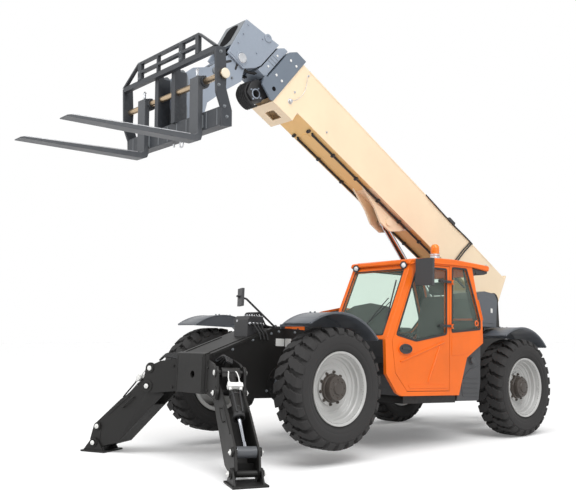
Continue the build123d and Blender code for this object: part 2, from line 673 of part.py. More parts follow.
def fork_shaft():
    """Round shaft that carries the forks, with a washer against each end of the carriage."""
    right, left = CARRIAGE_X
    shaft = bar_x(-SHAFT_F, SHAFT_Z, SHAFT_R, right - 8, left + 8)
    shaft += bar_x(-SHAFT_F, SHAFT_Z, 50, left + FIT_GAP, left + 32)
    shaft += bar_x(-SHAFT_F, SHAFT_Z, 50, right - FIT_GAP, right - 32)
    return level_place(shaft)


def forks():
    """Two L-shaped forks with an eye around the shaft and a blade that thins towards its tip."""
    pair = []
    shank_back = BEAM_F[1] + FIT_GAP
    shank_front = shank_back + FORK_THICK
    tip = shank_front + FORK_BLADE
    outline = [(shank_back, SHAFT_Z + 60), (shank_front, SHAFT_Z + 50), (shank_front, FORK_BOTTOM_Z + FORK_THICK + 25),
               (shank_front + 25, FORK_BOTTOM_Z + FORK_THICK), (tip - 40, FORK_BOTTOM_Z + 22), (tip, FORK_BOTTOM_Z + 10),
               (tip, FORK_BOTTOM_Z), (shank_back + 60, FORK_BOTTOM_Z), (shank_back + 15, FORK_BOTTOM_Z + 18),
               (shank_back, FORK_BOTTOM_Z + 60)]
    for x in FORK_X:
        x0, x1 = x - FORK_WIDTH / 2, x + FORK_WIDTH / 2
        fork = level_plate(outline, x0, x1)
        fork += bar_x(-SHAFT_F, SHAFT_Z, SHAFT_R + 34, x0, x1)
        fork += level_plate([(SHAFT_F, SHAFT_Z + 60), (shank_back + 5, SHAFT_Z + 60), (shank_back + 5, SHAFT_Z - 60),
                             (SHAFT_F, SHAFT_Z - 60)], x0, x1)
        fork -= bar_x(-SHAFT_F, SHAFT_Z, SHAFT_R + FIT_GAP, x0 - 1, x1 + 1)
        pair.append(level_place(fork))
    return single(pair)


# ---------------------------------------------------------------- cab
# outer side outline of the cab as (y, z), from the sill's front corner round by the windscreen and the roof
ROOF_UNDER = [(1105, 2035), (1300, 2072), (1822, 2100), (2302, 2118)]
CAB_SIDE = [(1000, CAB_FLOOR_Z), (915, 580), (735, 790), (712, 1165), *ROOF_UNDER, (2426, 1716),
            (2526, 1470), (2540, 1185), (2205, 995), (2046, CAB_FLOOR_Z)]
DOOR = [(1090, 600), (890, 800), (826, 1150), (1216, 2020), (1300, 2052), (1850, 2080), (1858, 600)]
DOOR_WINDOW = [(893, 1222), (1236, 1162), (1800, 1262), (1795, 2050), (1290, 2030), (1222, 1985)]
QUARTER_WINDOW = [(1900, 1290), (1900, 2078), (2190, 2088), (2368, 1712), (2478, 1462), (2480, 1350)]
RIGHT_WINDOW = [(818, 1222), (2200, 1300), (2400, 1480), (2200, 2060), (1290, 2038), (1176, 2010)]
ROOF_SIDE = [*ROOF_UNDER, (2640, 2095), (2655, 2150), (2630, 2167), (1929, 2178), (1571, 2160), (1192, 2115),
             (1090, 2090), (1075, 2045)]
REAR_WINDOW_X = (420, 1080)
SCREEN_LOW = (712, 1165)
SCREEN_TOP = (1105, 2035)


def grown(outline, amount):
    """The outline moved outward by amount."""
    face = make_face(Polyline(*[(y, z) for y, z in outline], close=True))
    return offset(face, amount=amount, kind=Kind.INTERSECTION)


def grown_plate(outline, amount, x0, x1):
    face = grown(outline, amount)
    upright = Plane(origin=(x0, 0, 0), x_dir=(0, 1, 0), z_dir=(1, 0, 0))
    return extrude(upright * face, amount=x1 - x0)


def cab_left_side():
    x0, x1 = CAB_LEFT_X - CAB_WALL, CAB_LEFT_X
    body = side_plate(CAB_SIDE, x0, x1)
    body -= grown_plate(DOOR, DOOR_GAP, x0 - 1, x1 + 1)
    body -= side_plate(QUARTER_WINDOW, x0 - 1, x1 + 1)
    for z in HINGE_Z:
        for z0, z1 in ((z + 14, z + 26), (z - 26, z - 14)):
            body += block(x1, HINGE_X + 14, HINGE_Y - 8, HINGE_Y + 24, z0, z1)
        body += bar_z(HINGE_X, HINGE_Y, HINGE_PIN_R, z - 26, z + 26)
    return body


HINGE_X = CAB_LEFT_X + 20
HINGE_Y = 1872
HINGE_Z = (1363, 1893)
HINGE_PIN_R = 6
DOOR_OPEN_DEG = 85


def cab_door():
    x0, x1 = CAB_LEFT_X - CAB_WALL, CAB_LEFT_X
    body = side_plate(DOOR, x0, x1)
    body -= side_plate(DOOR_WINDOW, x0 - 1, x1 + 1)
    for z in HINGE_Z:
        strap = block(x1, HINGE_X + 12, HINGE_Y - 232, HINGE_Y, z - 12, z + 12)
        strap += bar_z(HINGE_X, HINGE_Y, 14, z - 12, z + 12)
        strap -= bar_z(HINGE_X, HINGE_Y, HINGE_PIN_R + PIN_GAP, z - 13, z + 13)
        body += strap
    # oval handle
    handle = Plane(origin=(x1, 1041, 1070), x_dir=(0, 1, 0), z_dir=(1, 0, 0)) * SlotOverall(225, 108)
    body += extrude(handle, amount=14)
    return body


def pane(outline, x):
    return grown_plate(outline, -FIT_GAP, x - GLASS / 2, x + GLASS / 2)


def cab_right_side():
    x0, x1 = CAB_RIGHT_X, CAB_RIGHT_X + CAB_WALL
    body = side_plate(CAB_SIDE, x0, x1)
    body -= side_plate(RIGHT_WINDOW, x0 - 1, x1 + 1)
    return body


def screen_point(along, depth):
    """(y, z) at a share of the way up the windscreen's slope and a depth behind its outer face."""
    (y0, z0), (y1, z1) = SCREEN_LOW, SCREEN_TOP
    length = hypot(y1 - y0, z1 - z0)
    t = along / length
    return (y0 + (y1 - y0) * t + (z1 - z0) / length * depth, z0 + (z1 - z0) * t - (y1 - y0) / length * depth)


SCREEN_LENGTH = hypot(SCREEN_TOP[0] - SCREEN_LOW[0], SCREEN_TOP[1] - SCREEN_LOW[1])
SCREEN_BORDER = 55
SCREEN_SIDE_BORDER = 22
CAB_IN = (CAB_RIGHT_X + CAB_WALL, CAB_LEFT_X - CAB_WALL)


def cab_front():
    """Windscreen frame between the side walls."""
    x0, x1 = CAB_IN
    frame = side_plate([screen_point(0, 0), screen_point(SCREEN_LENGTH, 0), screen_point(SCREEN_LENGTH, CAB_WALL),
                        screen_point(0, CAB_WALL)], x0, x1)
    low, high = SCREEN_BORDER, SCREEN_LENGTH - SCREEN_BORDER
    opening = [screen_point(low, -10), screen_point(high, -10), screen_point(high, CAB_WALL + 10),
               screen_point(low, CAB_WALL + 10)]
    return frame - side_plate(opening, x0 + SCREEN_SIDE_BORDER, x1 - SCREEN_SIDE_BORDER)


def cab_front_panel():
    """Panel below the windscreen, stepped back to clear the steered tyre."""
    return side_plate([(712, 1164), (724, 965), (790, 900), (790, 775), (925, 640), (1000, CAB_FLOOR_Z),
                       (1000, CAB_FLOOR_Z + CAB_WALL), (955, 668), (790 + CAB_WALL, 792), (790 + CAB_WALL, 917),
                       (724 + CAB_WALL, 982), (712 + CAB_WALL, 1146)], *CAB_IN)


def cab_floor():
    x0, x1 = CAB_IN
    return block(x0, x1, 1000 + FIT_GAP, 2046 - CAB_WALL, CAB_FLOOR_Z, CAB_FLOOR_Z + CAB_WALL)


def cab_rear_wall():
    x0, x1 = CAB_IN
    outline = [(2302, 2118), (2426, 1716), (2526, 1470), (2540, 1185), (2205, 995), (2046, CAB_FLOOR_Z),
               (2046 - CAB_WALL, CAB_FLOOR_Z), (2046 - CAB_WALL, CAB_FLOOR_Z + CAB_WALL), (2172, 1022),
               (2500, 1208), (2486, 1460), (2387, 1703), (2262, 2116)]
    wall = side_plate(outline, x0, x1)
    wall -= side_plate([(2200, 1985), (2460, 2030), (2600, 1480), (2400, 1500)], *REAR_WINDOW_X)
    return wall


def cab_roof():
    return side_plate(ROOF_SIDE, CAB_RIGHT_X - 20, CAB_LEFT_X + 20)


def cab_glass():
    """Windscreen, right window, rear window and left quarter window, each in its own opening."""
    x0, x1 = CAB_IN
    low, high = SCREEN_BORDER + FIT_GAP, SCREEN_LENGTH - SCREEN_BORDER - FIT_GAP
    side = SCREEN_SIDE_BORDER + FIT_GAP
    screen = side_plate([screen_point(low, 14), screen_point(high, 14), screen_point(high, 14 + GLASS),
                         screen_point(low, 14 + GLASS)], x0 + side, x1 - side)
    rear_outline = [(2318, 2002), (2326, 2003), (2414, 1712), (2499, 1503), (2491, 1504), (2406, 1709)]
    rear = side_plate(rear_outline, REAR_WINDOW_X[0] + FIT_GAP, REAR_WINDOW_X[1] - FIT_GAP)
    return single([screen, pane(RIGHT_WINDOW, CAB_RIGHT_X + CAB_WALL / 2), rear,
                   pane(QUARTER_WINDOW, CAB_LEFT_X - CAB_WALL / 2)])


SEAT_X = 760


def seat_base():
    z0 = CAB_FLOOR_Z + CAB_WALL
    return block(SEAT_X - 190, SEAT_X + 190, 1560, 1960, z0, 960)


def seat_cushion():
    return block(SEAT_X - 240, SEAT_X + 240, 1500, 2000, 960 + FIT_GAP, 1080)


def seat_back():
    return side_plate([(1975, 1080 + FIT_GAP), (2110, 1080 + FIT_GAP), (2230, 1760), (2130, 1790)],
                      SEAT_X - 230, SEAT_X + 230)


COWL_ARCH = [(360, 1235), (360, 1500), (480, 1562), (740, 1594), (1000, 1548), (1140, 1450), (1140, 1235)]


def dashboard():
    """Console across the cab's front, the side console, the pedal box and the steering column."""
    x0, x1 = CAB_IN
    z0 = CAB_FLOOR_Z + CAB_WALL
    console = side_plate([(850, 930), (850, 1190), (890, 1260), (1000, 1240), (1040, 1060), (1040, 930)],
                         x0 + 15, x1 - 15)
    console += block(x0 + FIT_GAP, x0 + 150, 1020, 2000, z0, 1180)
    console += bar((SEAT_X, 960, 1000), (SEAT_X, 1175, 1330), 38)
    console += block(SEAT_X - 60, SEAT_X + 60, 1005, 1040, z0, 1010)
    # cowl behind the windscreen, arched from side to side
    arch = Polyline(*[(x, 860, z) for x, z in COWL_ARCH], close=True)
    cowl = extrude(make_face(arch), amount=160, dir=(0, 1, 0))
    return console + (cowl & side_plate([(868, 1235), (952, 1610), (985, 1610), (1000, 1235)], x0, x1))


def steering_wheel():
    direction = Vector(0, 1175 - 960, 1330 - 1000).normalized()
    centre = Vector(SEAT_X, 1175, 1330) + direction * 30
    plane = Plane(origin=centre, z_dir=direction)
    wheel = plane * Torus(185, 16)
    wheel += plane * Pos(0, 0, -14) * Cylinder(48, 30)
    for angle in (0, 120, 240):
        wheel += plane * Rot(0, 0, angle) * Pos(105, 0, 0) * Box(140, 26, 12)
    return wheel


# ---------------------------------------------------------------- body pieces around the chassis
def engine_pod():
    """Tray on the right of the chassis, open on top under the hood."""
    x0, x1 = POD_X
    y0, y1 = POD_Y
    z0, z1 = POD_Z
    shell = block(x0, x1, y0, y1, z0, z1)
    shell -= block(x0 + POD_WALL, x1 - POD_WALL, y0 + POD_WALL, y1 - POD_WALL, z0 + POD_WALL, z1 + 1)
    # hinge ears and their pins
    for y in HOOD_HINGE_Y:
        for a, b in ((y - 34, y - 22), (y + 22, y + 34)):
            shell += block(HOOD_HINGE_X - 12, HOOD_HINGE_X + 12, a, b, z1 - 20, HOOD_HINGE_Z)
            shell += Pos(HOOD_HINGE_X, (a + b) / 2, HOOD_HINGE_Z) * Rot(90, 0, 0) * Cylinder(12, b - a)
        shell += Pos(HOOD_HINGE_X, y, HOOD_HINGE_Z) * Rot(90, 0, 0) * Cylinder(HOOD_PIN_R, 60)
    return shell


HOOD_HINGE_Y = (1250, 2250)
HOOD_HINGE_X = POD_X[1] - 14
HOOD_PIN_R = 7
HOOD_HINGE_Z = POD_Z[1] + 26
HOOD_OPEN_DEG = 35           # stays clear of the lowered boom's lugs


def engine_block():
    z0 = POD_Z[0] + POD_WALL
    return block(-960, -500, 1120, 2250, z0, 1130)


def falling_plate(outline, x0, x1):
    """A plate from (y, z) points that falls with the hood's slope on its way from x0 outward to x1."""
    wire = Polyline(*[(x0, y, z) for y, z in outline], close=True)
    slant = Vector(x1 - x0, 0, (x1 - x0) * HOOD_FALL)
    return extrude(make_face(wire), amount=slant.length, dir=slant)


def engine_hood():
    """Lid over the engine, lower at its front and outer side, hinged along its inner edge."""
    x0, x1 = POD_X
    y0, y1 = POD_Y
    z1 = POD_Z[1]
    inner = HOOD_HINGE_X - 26
    front, rear = y0 + HOOD_THICK, y1 - HOOD_THICK
    lid = falling_plate([(y0, z1), (y0, z1 + 170), (1197, z1 + 290), (1561, z1 + 366), (y1 - 230, z1 + 360),
                         (y1, z1 + 130), (y1, z1)], inner, x0)
    lid += block(x0, inner, y0, y1, z1 - 1, z1 + HOOD_THICK)
    lid &= block(x0, inner, y0, y1, z1 + FIT_GAP, z1 + 400)
    lid -= falling_plate([(front, z1), (front, z1 + 132), (1205, z1 + 238), (1567, z1 + 314), (y1 - 250, z1 + 308),
                          (rear, z1 + 100), (rear, z1)], inner - HOOD_THICK, x0 + HOOD_THICK)
    for y in HOOD_HINGE_Y:
        lid += block(inner, HOOD_HINGE_X, y - 20, y + 20, HOOD_HINGE_Z - 8, HOOD_HINGE_Z + 8)
        lid += Pos(HOOD_HINGE_X, y, HOOD_HINGE_Z) * Rot(90, 0, 0) * Cylinder(14, 40)
        lid -= Pos(HOOD_HINGE_X, y, HOOD_HINGE_Z) * Rot(90, 0, 0) * Cylinder(HOOD_PIN_R + PIN_GAP, 42)
    return lid


def fuel_tank():
    """Tank behind the cab on the left, ahead of the rear wheel."""
    gap = 8
    outline = [(2058 + gap, 470), (2520, 470), (2560, 700), (2560, 1175), (2545, 1172), (2215 + gap, 985), (2130, 720)]
    return side_plate(outline, FRAME_HALF, 1150)


def hydraulic_tank():
    """Tall rounded tank between the boom tower and the left rear fender."""
    tank = side_plate([(2700, FRAME_TOP_Z + 160), (3230, FRAME_TOP_Z + 160), (3250, 1780), (3190, 1862), (2960, 1880),
                       (2800, 1850), (2740, 1770)], 520, 930)
    tank += block(FRAME_HALF - FRAME_PLATE, 700, 2800, 3100, FRAME_TOP_Z, FRAME_TOP_Z + 165)
    return tank


def fender(axle_y, front_deg, rear_deg):
    """Arched sheet over the left wheel, a skirt along its inner edge, and the arm that holds it to the frame."""
    y, z = axle_y, TYRE_R
    outer = FENDER_R + FENDER_THICK
    x0, x1 = FENDER_X
    ring = bar_x(y, z, outer, x0, x1) - bar_x(y, z, FENDER_R, x0 - 1, x1 + 1)
    reach = outer * 2
    front = radians(front_deg)
    rear = radians(rear_deg)
    wedge = side_plate([(y, z), (y - reach * cos(front), z + reach * sin(front)), (y - reach * cos(front), z + reach),
                        (y + reach * cos(rear), z + reach), (y + reach * cos(rear), z + reach * sin(rear))],
                       x0 - 1, x1 + 1)
    sheet = ring & wedge
    low = 2 * TYRE_R + 9
    sheet += bar_x(y, z, outer, x0, x0 + 15) & block(x0, x0 + 15, y - outer, y + outer, low, z + outer)
    sheet += block(FRAME_HALF - FRAME_PLATE, x0 + 15, y - 30, y + 30, low, low + 25)
    sheet += block(FRAME_HALF - FRAME_PLATE, FRAME_HALF, y - 30, y + 30, FRAME_TOP_Z, low)
    return sheet


def counterweight():
    return side_plate([(FRAME_REAR_Y + FIT_GAP, 600), (4830, 640), (4850, 1000), (4820, 1050),
                       (FRAME_REAR_Y + FIT_GAP, 1090)], -550, 550)


def valve_box():
    """Hydraulic block on the sloping front deck."""
    slope = (FRAME_TOP_Z - 940) / 840

    def deck(y):
        return 940 + (y - FRAME_FRONT_Y) * slope
    y0, y1 = -450, -230
    return side_plate([(y0, deck(y0)), (y1, deck(y1)), (y1, 1375), (y0 + 30, 1375), (y0, 1330)], -30, 215)


def door_mirror():
    """Tall mirror on an arm at the door frame's upper front corner."""
    foot = (CAB_LEFT_X - 8, 1252, 2020)
    head = Pos(1352, 1195, 1950) * Rot(0, 0, 12) * Box(215, 50, 310)
    arm = bar(foot, (1352, 1200, 2080), 11)
    return (head + arm) - block(CAB_LEFT_X - CAB_WALL, CAB_LEFT_X + FIT_GAP, 1100, 1400, 1900, 2100)


def front_mirror():
    """Mirror on a cranked tube that stands on the frame's front left corner."""
    foot = (FRAME_HALF - 20, -90, FRAME_TOP_Z + 6)
    bend = (425, -645, 1540)
    head = (440, -732, 1551)
    stay = bar(foot, bend, 11) + bar(bend, (450, -792, 1559), 11)
    stay += Pos(*head) * Rot(0, 0, -24) * Box(190, 28, 187)
    stay += block(FRAME_HALF - 40, FRAME_HALF, -120, -60, FRAME_TOP_Z + FIT_GAP, FRAME_TOP_Z + 14)
    return stay - block(0, FRAME_HALF + 20, -160, 0, FRAME_TOP_Z - 40, FRAME_TOP_Z + FIT_GAP)


def beacon():
    """Warning beacon on its base on the cab roof."""
    x, y = 950, 1885
    roof_z = 2176
    base = bar_z(x, y, 58, roof_z - 10, roof_z + 37)
    lamp = bar_z(x, y, 48, roof_z + 37, roof_z + 209)
    return (base + lamp) - side_plate(ROOF_SIDE, CAB_RIGHT_X, CAB_LEFT_X)


# ---------------------------------------------------------------- build every node
def build():
    nodes["chassis_frame"] = chassis_frame()
    nodes["axles"] = single([axle(0, 1), axle(WHEELBASE, -1)])
    left_knuckles = {"front": knuckle(0), "rear": knuckle(WHEELBASE)}
    left_tyre, left_rim = tyre(), rim()
    for end, y in (("front", 0), ("rear", WHEELBASE)):
        for side, place in (("left", lambda s: s), ("right", mirrored)):
            nodes[f"{end}_{side}_knuckle"] = place(left_knuckles[end])
            nodes[f"{end}_{side}_tyre"] = place(wheel_place(left_tyre, y))
            nodes[f"{end}_{side}_rim"] = place(wheel_place(left_rim, y))
    leg, pad = outrigger_leg(), outrigger_pad()
    barrel, rod = outrigger_cylinder()
    for side, place in (("left", lambda s: s), ("right", mirrored)):
        nodes[f"outrigger_leg_{side}"] = place(leg)
        nodes[f"outrigger_pad_{side}"] = place(pad)
        nodes[f"outrigger_barrel_{side}"] = place(barrel)
        nodes[f"outrigger_rod_{side}"] = place(rod)
    nodes["boom_outer"] = boom_outer()
    nodes["boom_second"] = boom_second()
    nodes["boom_third"] = boom_third()
    nodes["boom_fourth"] = boom_fourth()
    nodes["hose_carrier"] = hose_carrier()
    nodes["tilt_pin"] = tilt_pin()
    nodes["lift_barrel"], nodes["lift_rod"] = lift_cylinder()
    nodes["coupler"] = coupler()
    nodes["carriage_frame"] = carriage_frame()
    nodes["fork_shaft"] = fork_shaft()
    nodes["forks"] = forks()
    nodes["cab_floor"] = cab_floor()
    nodes["cab_front"] = cab_front()
    nodes["cab_front_panel"] = cab_front_panel()
    nodes["cab_left_side"] = cab_left_side()
    nodes["cab_right_side"] = cab_right_side()
    nodes["cab_rear_wall"] = cab_rear_wall()
    nodes["cab_roof"] = cab_roof()
    nodes["cab_glass"] = cab_glass()
    nodes["cab_door"] = cab_door()
    nodes["door_glass"] = pane(DOOR_WINDOW, CAB_LEFT_X - CAB_WALL / 2)
    nodes["seat_base"] = seat_base()
    nodes["seat_cushion"] = seat_cushion()
    nodes["seat_back"] = seat_back()
    nodes["dashboard"] = dashboard()
    nodes["steering_wheel"] = steering_wheel()
    nodes["engine_pod"] = engine_pod()
    nodes["engine_block"] = engine_block()
    nodes["engine_hood"] = engine_hood()
    nodes["fuel_tank"] = fuel_tank()
    nodes["hydraulic_tank"] = hydraulic_tank()
    nodes["fenders"] = single(both_sides(fender(0, 57, 42)) + both_sides(fender(WHEELBASE, 58, 44)))
    nodes["counterweight"] = counterweight()
    nodes["valve_box"] = valve_box()
    nodes["door_mirror"] = door_mirror()
    nodes["front_mirror"] = front_mirror()
    nodes["beacon"] = beacon()


build()
parked_nodes = {name: to_ground(shape) for name, shape in nodes.items()}
boxes = [shape.bounding_box() for shape in parked_nodes.values()]
CENTRE_Y = (min(b.min.Y for b in boxes) + max(b.max.Y for b in boxes)) / 2
for name, shape in parked_nodes.items():
    export_step(Pos(0, -CENTRE_Y, 0) * shape, f"parts/{name}.step")
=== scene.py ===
"""Looks of the telescopic handler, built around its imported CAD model.

Pieces are drawn in millimetres in the machine's own frames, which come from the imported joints.
"""
import json
from math import cos, pi, radians, sin

import bmesh
import bpy
from mathutils import Matrix, Vector

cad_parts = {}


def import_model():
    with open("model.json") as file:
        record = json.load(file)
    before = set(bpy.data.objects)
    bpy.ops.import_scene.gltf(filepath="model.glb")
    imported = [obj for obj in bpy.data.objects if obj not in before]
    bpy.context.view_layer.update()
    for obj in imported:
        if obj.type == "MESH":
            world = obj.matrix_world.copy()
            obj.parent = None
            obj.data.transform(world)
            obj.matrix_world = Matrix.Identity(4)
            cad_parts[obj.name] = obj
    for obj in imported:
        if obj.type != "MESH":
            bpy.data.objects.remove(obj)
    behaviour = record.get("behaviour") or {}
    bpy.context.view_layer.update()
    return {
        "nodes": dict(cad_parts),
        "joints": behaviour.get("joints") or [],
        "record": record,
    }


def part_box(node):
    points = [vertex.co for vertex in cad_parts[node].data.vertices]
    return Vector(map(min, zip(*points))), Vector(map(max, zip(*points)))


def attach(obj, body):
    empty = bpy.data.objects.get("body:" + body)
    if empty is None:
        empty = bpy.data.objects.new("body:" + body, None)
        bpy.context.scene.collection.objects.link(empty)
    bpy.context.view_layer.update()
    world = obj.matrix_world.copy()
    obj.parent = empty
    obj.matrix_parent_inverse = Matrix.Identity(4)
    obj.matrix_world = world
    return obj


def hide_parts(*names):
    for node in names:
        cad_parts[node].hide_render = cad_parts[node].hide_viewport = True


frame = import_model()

NODES = frame["nodes"]
JOINTS = {joint["name"]: joint for joint in frame["joints"]}
NODE_SLOT = {part["node"]: part["material_slot"] for part in frame["record"]["subparts"]}
SLOT = {m["slot"]: m for m in frame["record"]["materials"]}
MM = Matrix.Scale(0.001, 4)


# ---------------------------------------------------------------- the machine's frames, from its joints
def joint_pos(name):
    return Vector(JOINTS[name]["pos_m"])


def joint_axis(name):
    return Vector(JOINTS[name]["axis"]).normalized()


def frame_matrix(origin, x, y):
    """A frame from its origin and its x and y directions."""
    matrix = Matrix((x, y, x.cross(y))).transposed().to_4x4()
    matrix.translation = origin
    return matrix


def on_centre(point):
    return Vector((0, point.y, point.z))


X_AXIS = Vector((1, 0, 0))
UP = joint_axis("front_steer_left")
FRONT_AXLE = on_centre(joint_pos("front_wheel_left"))
REAR_AXLE = on_centre(joint_pos("rear_wheel_left"))
TYRE_LOW, TYRE_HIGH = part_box("rear_left_tyre")
TYRE_RADIUS = (TYRE_HIGH.z - TYRE_LOW.z) / 2

# x to the left, y to the rear from the front axle, z square to the chassis from the tyres' bottoms
MACHINE = frame_matrix(FRONT_AXLE - UP * TYRE_RADIUS, X_AXIS, UP.cross(X_AXIS))
# origin at the boom's pivot, y back along the boom, z square to it
BOOM = frame_matrix(joint_pos("boom_lift"), X_AXIS, -joint_axis("boom_extend"))
# origin at the head pin, level with the ground, y to the rear
LEVEL = Matrix.Translation(joint_pos("carriage_tilt"))
# x to the left, y up the windscreen from its lower edge, z outward
SCREEN_FOOT, SCREEN_TOP = Vector((0, 712, 1165)), Vector((0, 1105, 2035))
SCREEN = MACHINE @ frame_matrix(SCREEN_FOOT / 1000, X_AXIS, (SCREEN_TOP - SCREEN_FOOT).normalized())
# the frame that pieces on a body are drawn in, where it isn't the machine's
HOME = {"boom": BOOM, "second_section": BOOM, "third_section": BOOM, "fourth_section": BOOM,
        "carriage": LEVEL}


def leg_frame(side):
    """x outward along the outrigger, y across it, z square to the chassis, origin on the centre line."""
    sign = 1 if side == "left" else -1
    out = joint_axis(f"outrigger_{side}").cross(UP)
    out *= sign if out.x > 0 else -sign
    hip = joint_pos(f"outrigger_{side}")
    origin = hip - out * (hip.x / out.x)
    origin -= UP * (origin - MACHINE.translation).dot(UP)
    return frame_matrix(origin, out, UP.cross(out))


def wheel_frame(end, side):
    """Origin at the wheel's centre, x outward, z up."""
    out = X_AXIS if side == "left" else -X_AXIS
    return frame_matrix(joint_pos(f"{end}_wheel_{side}"), out, UP.cross(out))


# ---------------------------------------------------------------- materials
def new_material(name):
    material = bpy.data.materials.new(name)
    material.use_nodes = True
    tree = material.node_tree
    return material, tree, tree.nodes["Principled BSDF"]


def feed(tree, socket, value):
    """Link another node's output to the socket, or set the socket's own value."""
    if isinstance(value, bpy.types.NodeSocket):
        tree.links.new(value, socket)
    elif socket.type == "RGBA":
        socket.default_value = (*value[:3], 1)
    else:
        socket.default_value = value


def add_node(tree, kind, inputs, **settings):
    """A new node, with what each of its sockets gets."""
    node = tree.nodes.new("ShaderNode" + kind)
    for name, value in settings.items():
        setattr(node, name, value)
    for key, value in inputs.items():
        feed(tree, node.inputs[key], value)
    return node


def object_coords(tree, stretch=None):
    source = add_node(tree, "TexCoord", {}).outputs["Object"]
    if not stretch:
        return source
    return add_node(tree, "Mapping", {"Scale": stretch, "Vector": source}).outputs["Vector"]


def noise(tree, scale, detail, stretch=None):
    settings = {"Scale": scale, "Detail": detail, "Roughness": 0.55, "Vector": object_coords(tree, stretch)}
    return add_node(tree, "TexNoise", settings).outputs["Fac"]


def math_node(tree, operation, a, b):
    return add_node(tree, "Math", {0: a, 1: b}, operation=operation).outputs[0]


def weave(tree, scale):
    """Threads that cross: the higher of two sets of fine waves."""
    waves = []
    for direction in ("X", "Z"):
        settings = {"Scale": scale, "Distortion": 0.4, "Vector": object_coords(tree)}
        waves.append(add_node(tree, "TexWave", settings, bands_direction=direction).outputs["Fac"])
    return math_node(tree, "MAXIMUM", *waves)


def mix_colour(tree, fac, a, b):
    return add_node(tree, "Mix", {6: a, 7: b, 0: fac}, data_type="RGBA").outputs[2]


def ramp(tree, value, low, high, low_result=0.0, high_result=1.0):
    sockets = {"Value": value, "From Min": low, "From Max": high, "To Min": low_result,
               "To Max": high_result}
    return add_node(tree, "MapRange", sockets).outputs["Result"]


def scaled(colour, k):
    return [min(1, c * k) for c in colour[:3]]


# where the broad noise, the hollows' dust and painted shade, the sharp edges and the scratches fade in and
# out
BROAD, HOLLOW_DUST_AND_SHADE, SHARP, SCRATCHED = (0.3, 0.7), (0.75, 0.35), (0.53, 0.6), (0.48, 0.62)
# in metres, how deep the relief is and how far a hollow's dust and painted shade reach; the scratches' noise
# is per metre
RELIEF_DEPTH, HOLLOW_REACH, SCRATCHES = 0.0006, 0.06, 26
COAT_ROUGHNESS = 0.12


def finish_material(name, colour, metallic=0.0, roughness=0.5, coat=0.0, vary=0.08, patch=1.7, grain=220,
                    relief=0.0, rough_vary=0.06, stretch=None, hollow_dust_and_shade=0.0, hollow_dust_and_shade_colour=(0.3, 0.27, 0.23),
                    worn=0.0, worn_colour=(0.3, 0.3, 0.3), woven=0, sheen=0.0, specular=0.5):
    """Noise at two scales shifts colour and roughness and gives relief; edges wear, and ambient occlusion
    blends a colour into hollows: painted shade where it is darker than the finish, dust where it is lighter.
    """
    material, tree, bsdf = new_material(name)
    broad = noise(tree, patch, 4, stretch)
    fine = weave(tree, woven) if woven else noise(tree, grain, 3, stretch)
    base = mix_colour(tree, ramp(tree, broad, *BROAD), scaled(colour, 1 - vary), scaled(colour, 1 + vary))
    # painted shade and dust: ambient occlusion blends the hollow colour into creases; darker than the finish
    # it is painted shade, lighter it is dust
    if hollow_dust_and_shade:
        shade = add_node(tree, "AmbientOcclusion", {"Distance": HOLLOW_REACH}, samples=4).outputs["AO"]
        base = mix_colour(tree, ramp(tree, shade, *HOLLOW_DUST_AND_SHADE, 0, hollow_dust_and_shade), base, hollow_dust_and_shade_colour)
    if worn:
        edge = ramp(tree, add_node(tree, "NewGeometry", {}).outputs["Pointiness"], *SHARP, 0, worn)
        patchy = ramp(tree, noise(tree, SCRATCHES, 6), *SCRATCHED)
        base = mix_colour(tree, math_node(tree, "MULTIPLY", edge, patchy), base, worn_colour)
    sockets = {
        "Base Color": base, "Metallic": metallic, "Sheen Weight": sheen, "Specular IOR Level": specular,
        "Roughness": ramp(tree, broad, *BROAD, roughness - rough_vary, roughness + rough_vary),
        "Coat Weight": coat, "Coat Roughness": COAT_ROUGHNESS,
    }
    if relief:
        height = {"Strength": relief, "Distance": RELIEF_DEPTH, "Height": fine}
        sockets["Normal"] = add_node(tree, "Bump", height).outputs["Normal"]
    for key, value in sockets.items():
        feed(tree, bsdf.inputs[key], value)
    return material


# how each class of material in the record looks
LOOK = {
    # the default hollow colour is painted shade where it is darker than the paint, dust where it is lighter
    "painted_metal": dict(roughness=0.42, coat=0.1, relief=0.05, hollow_dust_and_shade=0.12, worn=0.06),
    "brushed_steel": dict(metallic=1, roughness=0.34, stretch=(1, 40, 40), relief=0.1),
    "chrome": dict(metallic=1, roughness=0.12, vary=0.02, rough_vary=0.03),
    "tyre": dict(roughness=0.86, relief=0.5, grain=400, vary=0.18, patch=5, hollow_dust_and_shade=0.12,
                 hollow_dust_and_shade_colour=(0.05, 0.045, 0.04)),
    "matte_plastic": dict(roughness=0.55, relief=0.25, grain=900),
    "gloss_plastic": dict(roughness=0.22),
    "fabric": dict(roughness=0.95, relief=0.6, woven=160, sheen=0.3),
    "cast_iron": dict(roughness=0.72, relief=0.6, grain=500),
    "glass": dict(roughness=0.04, vary=0.01, rough_vary=0.01),
}
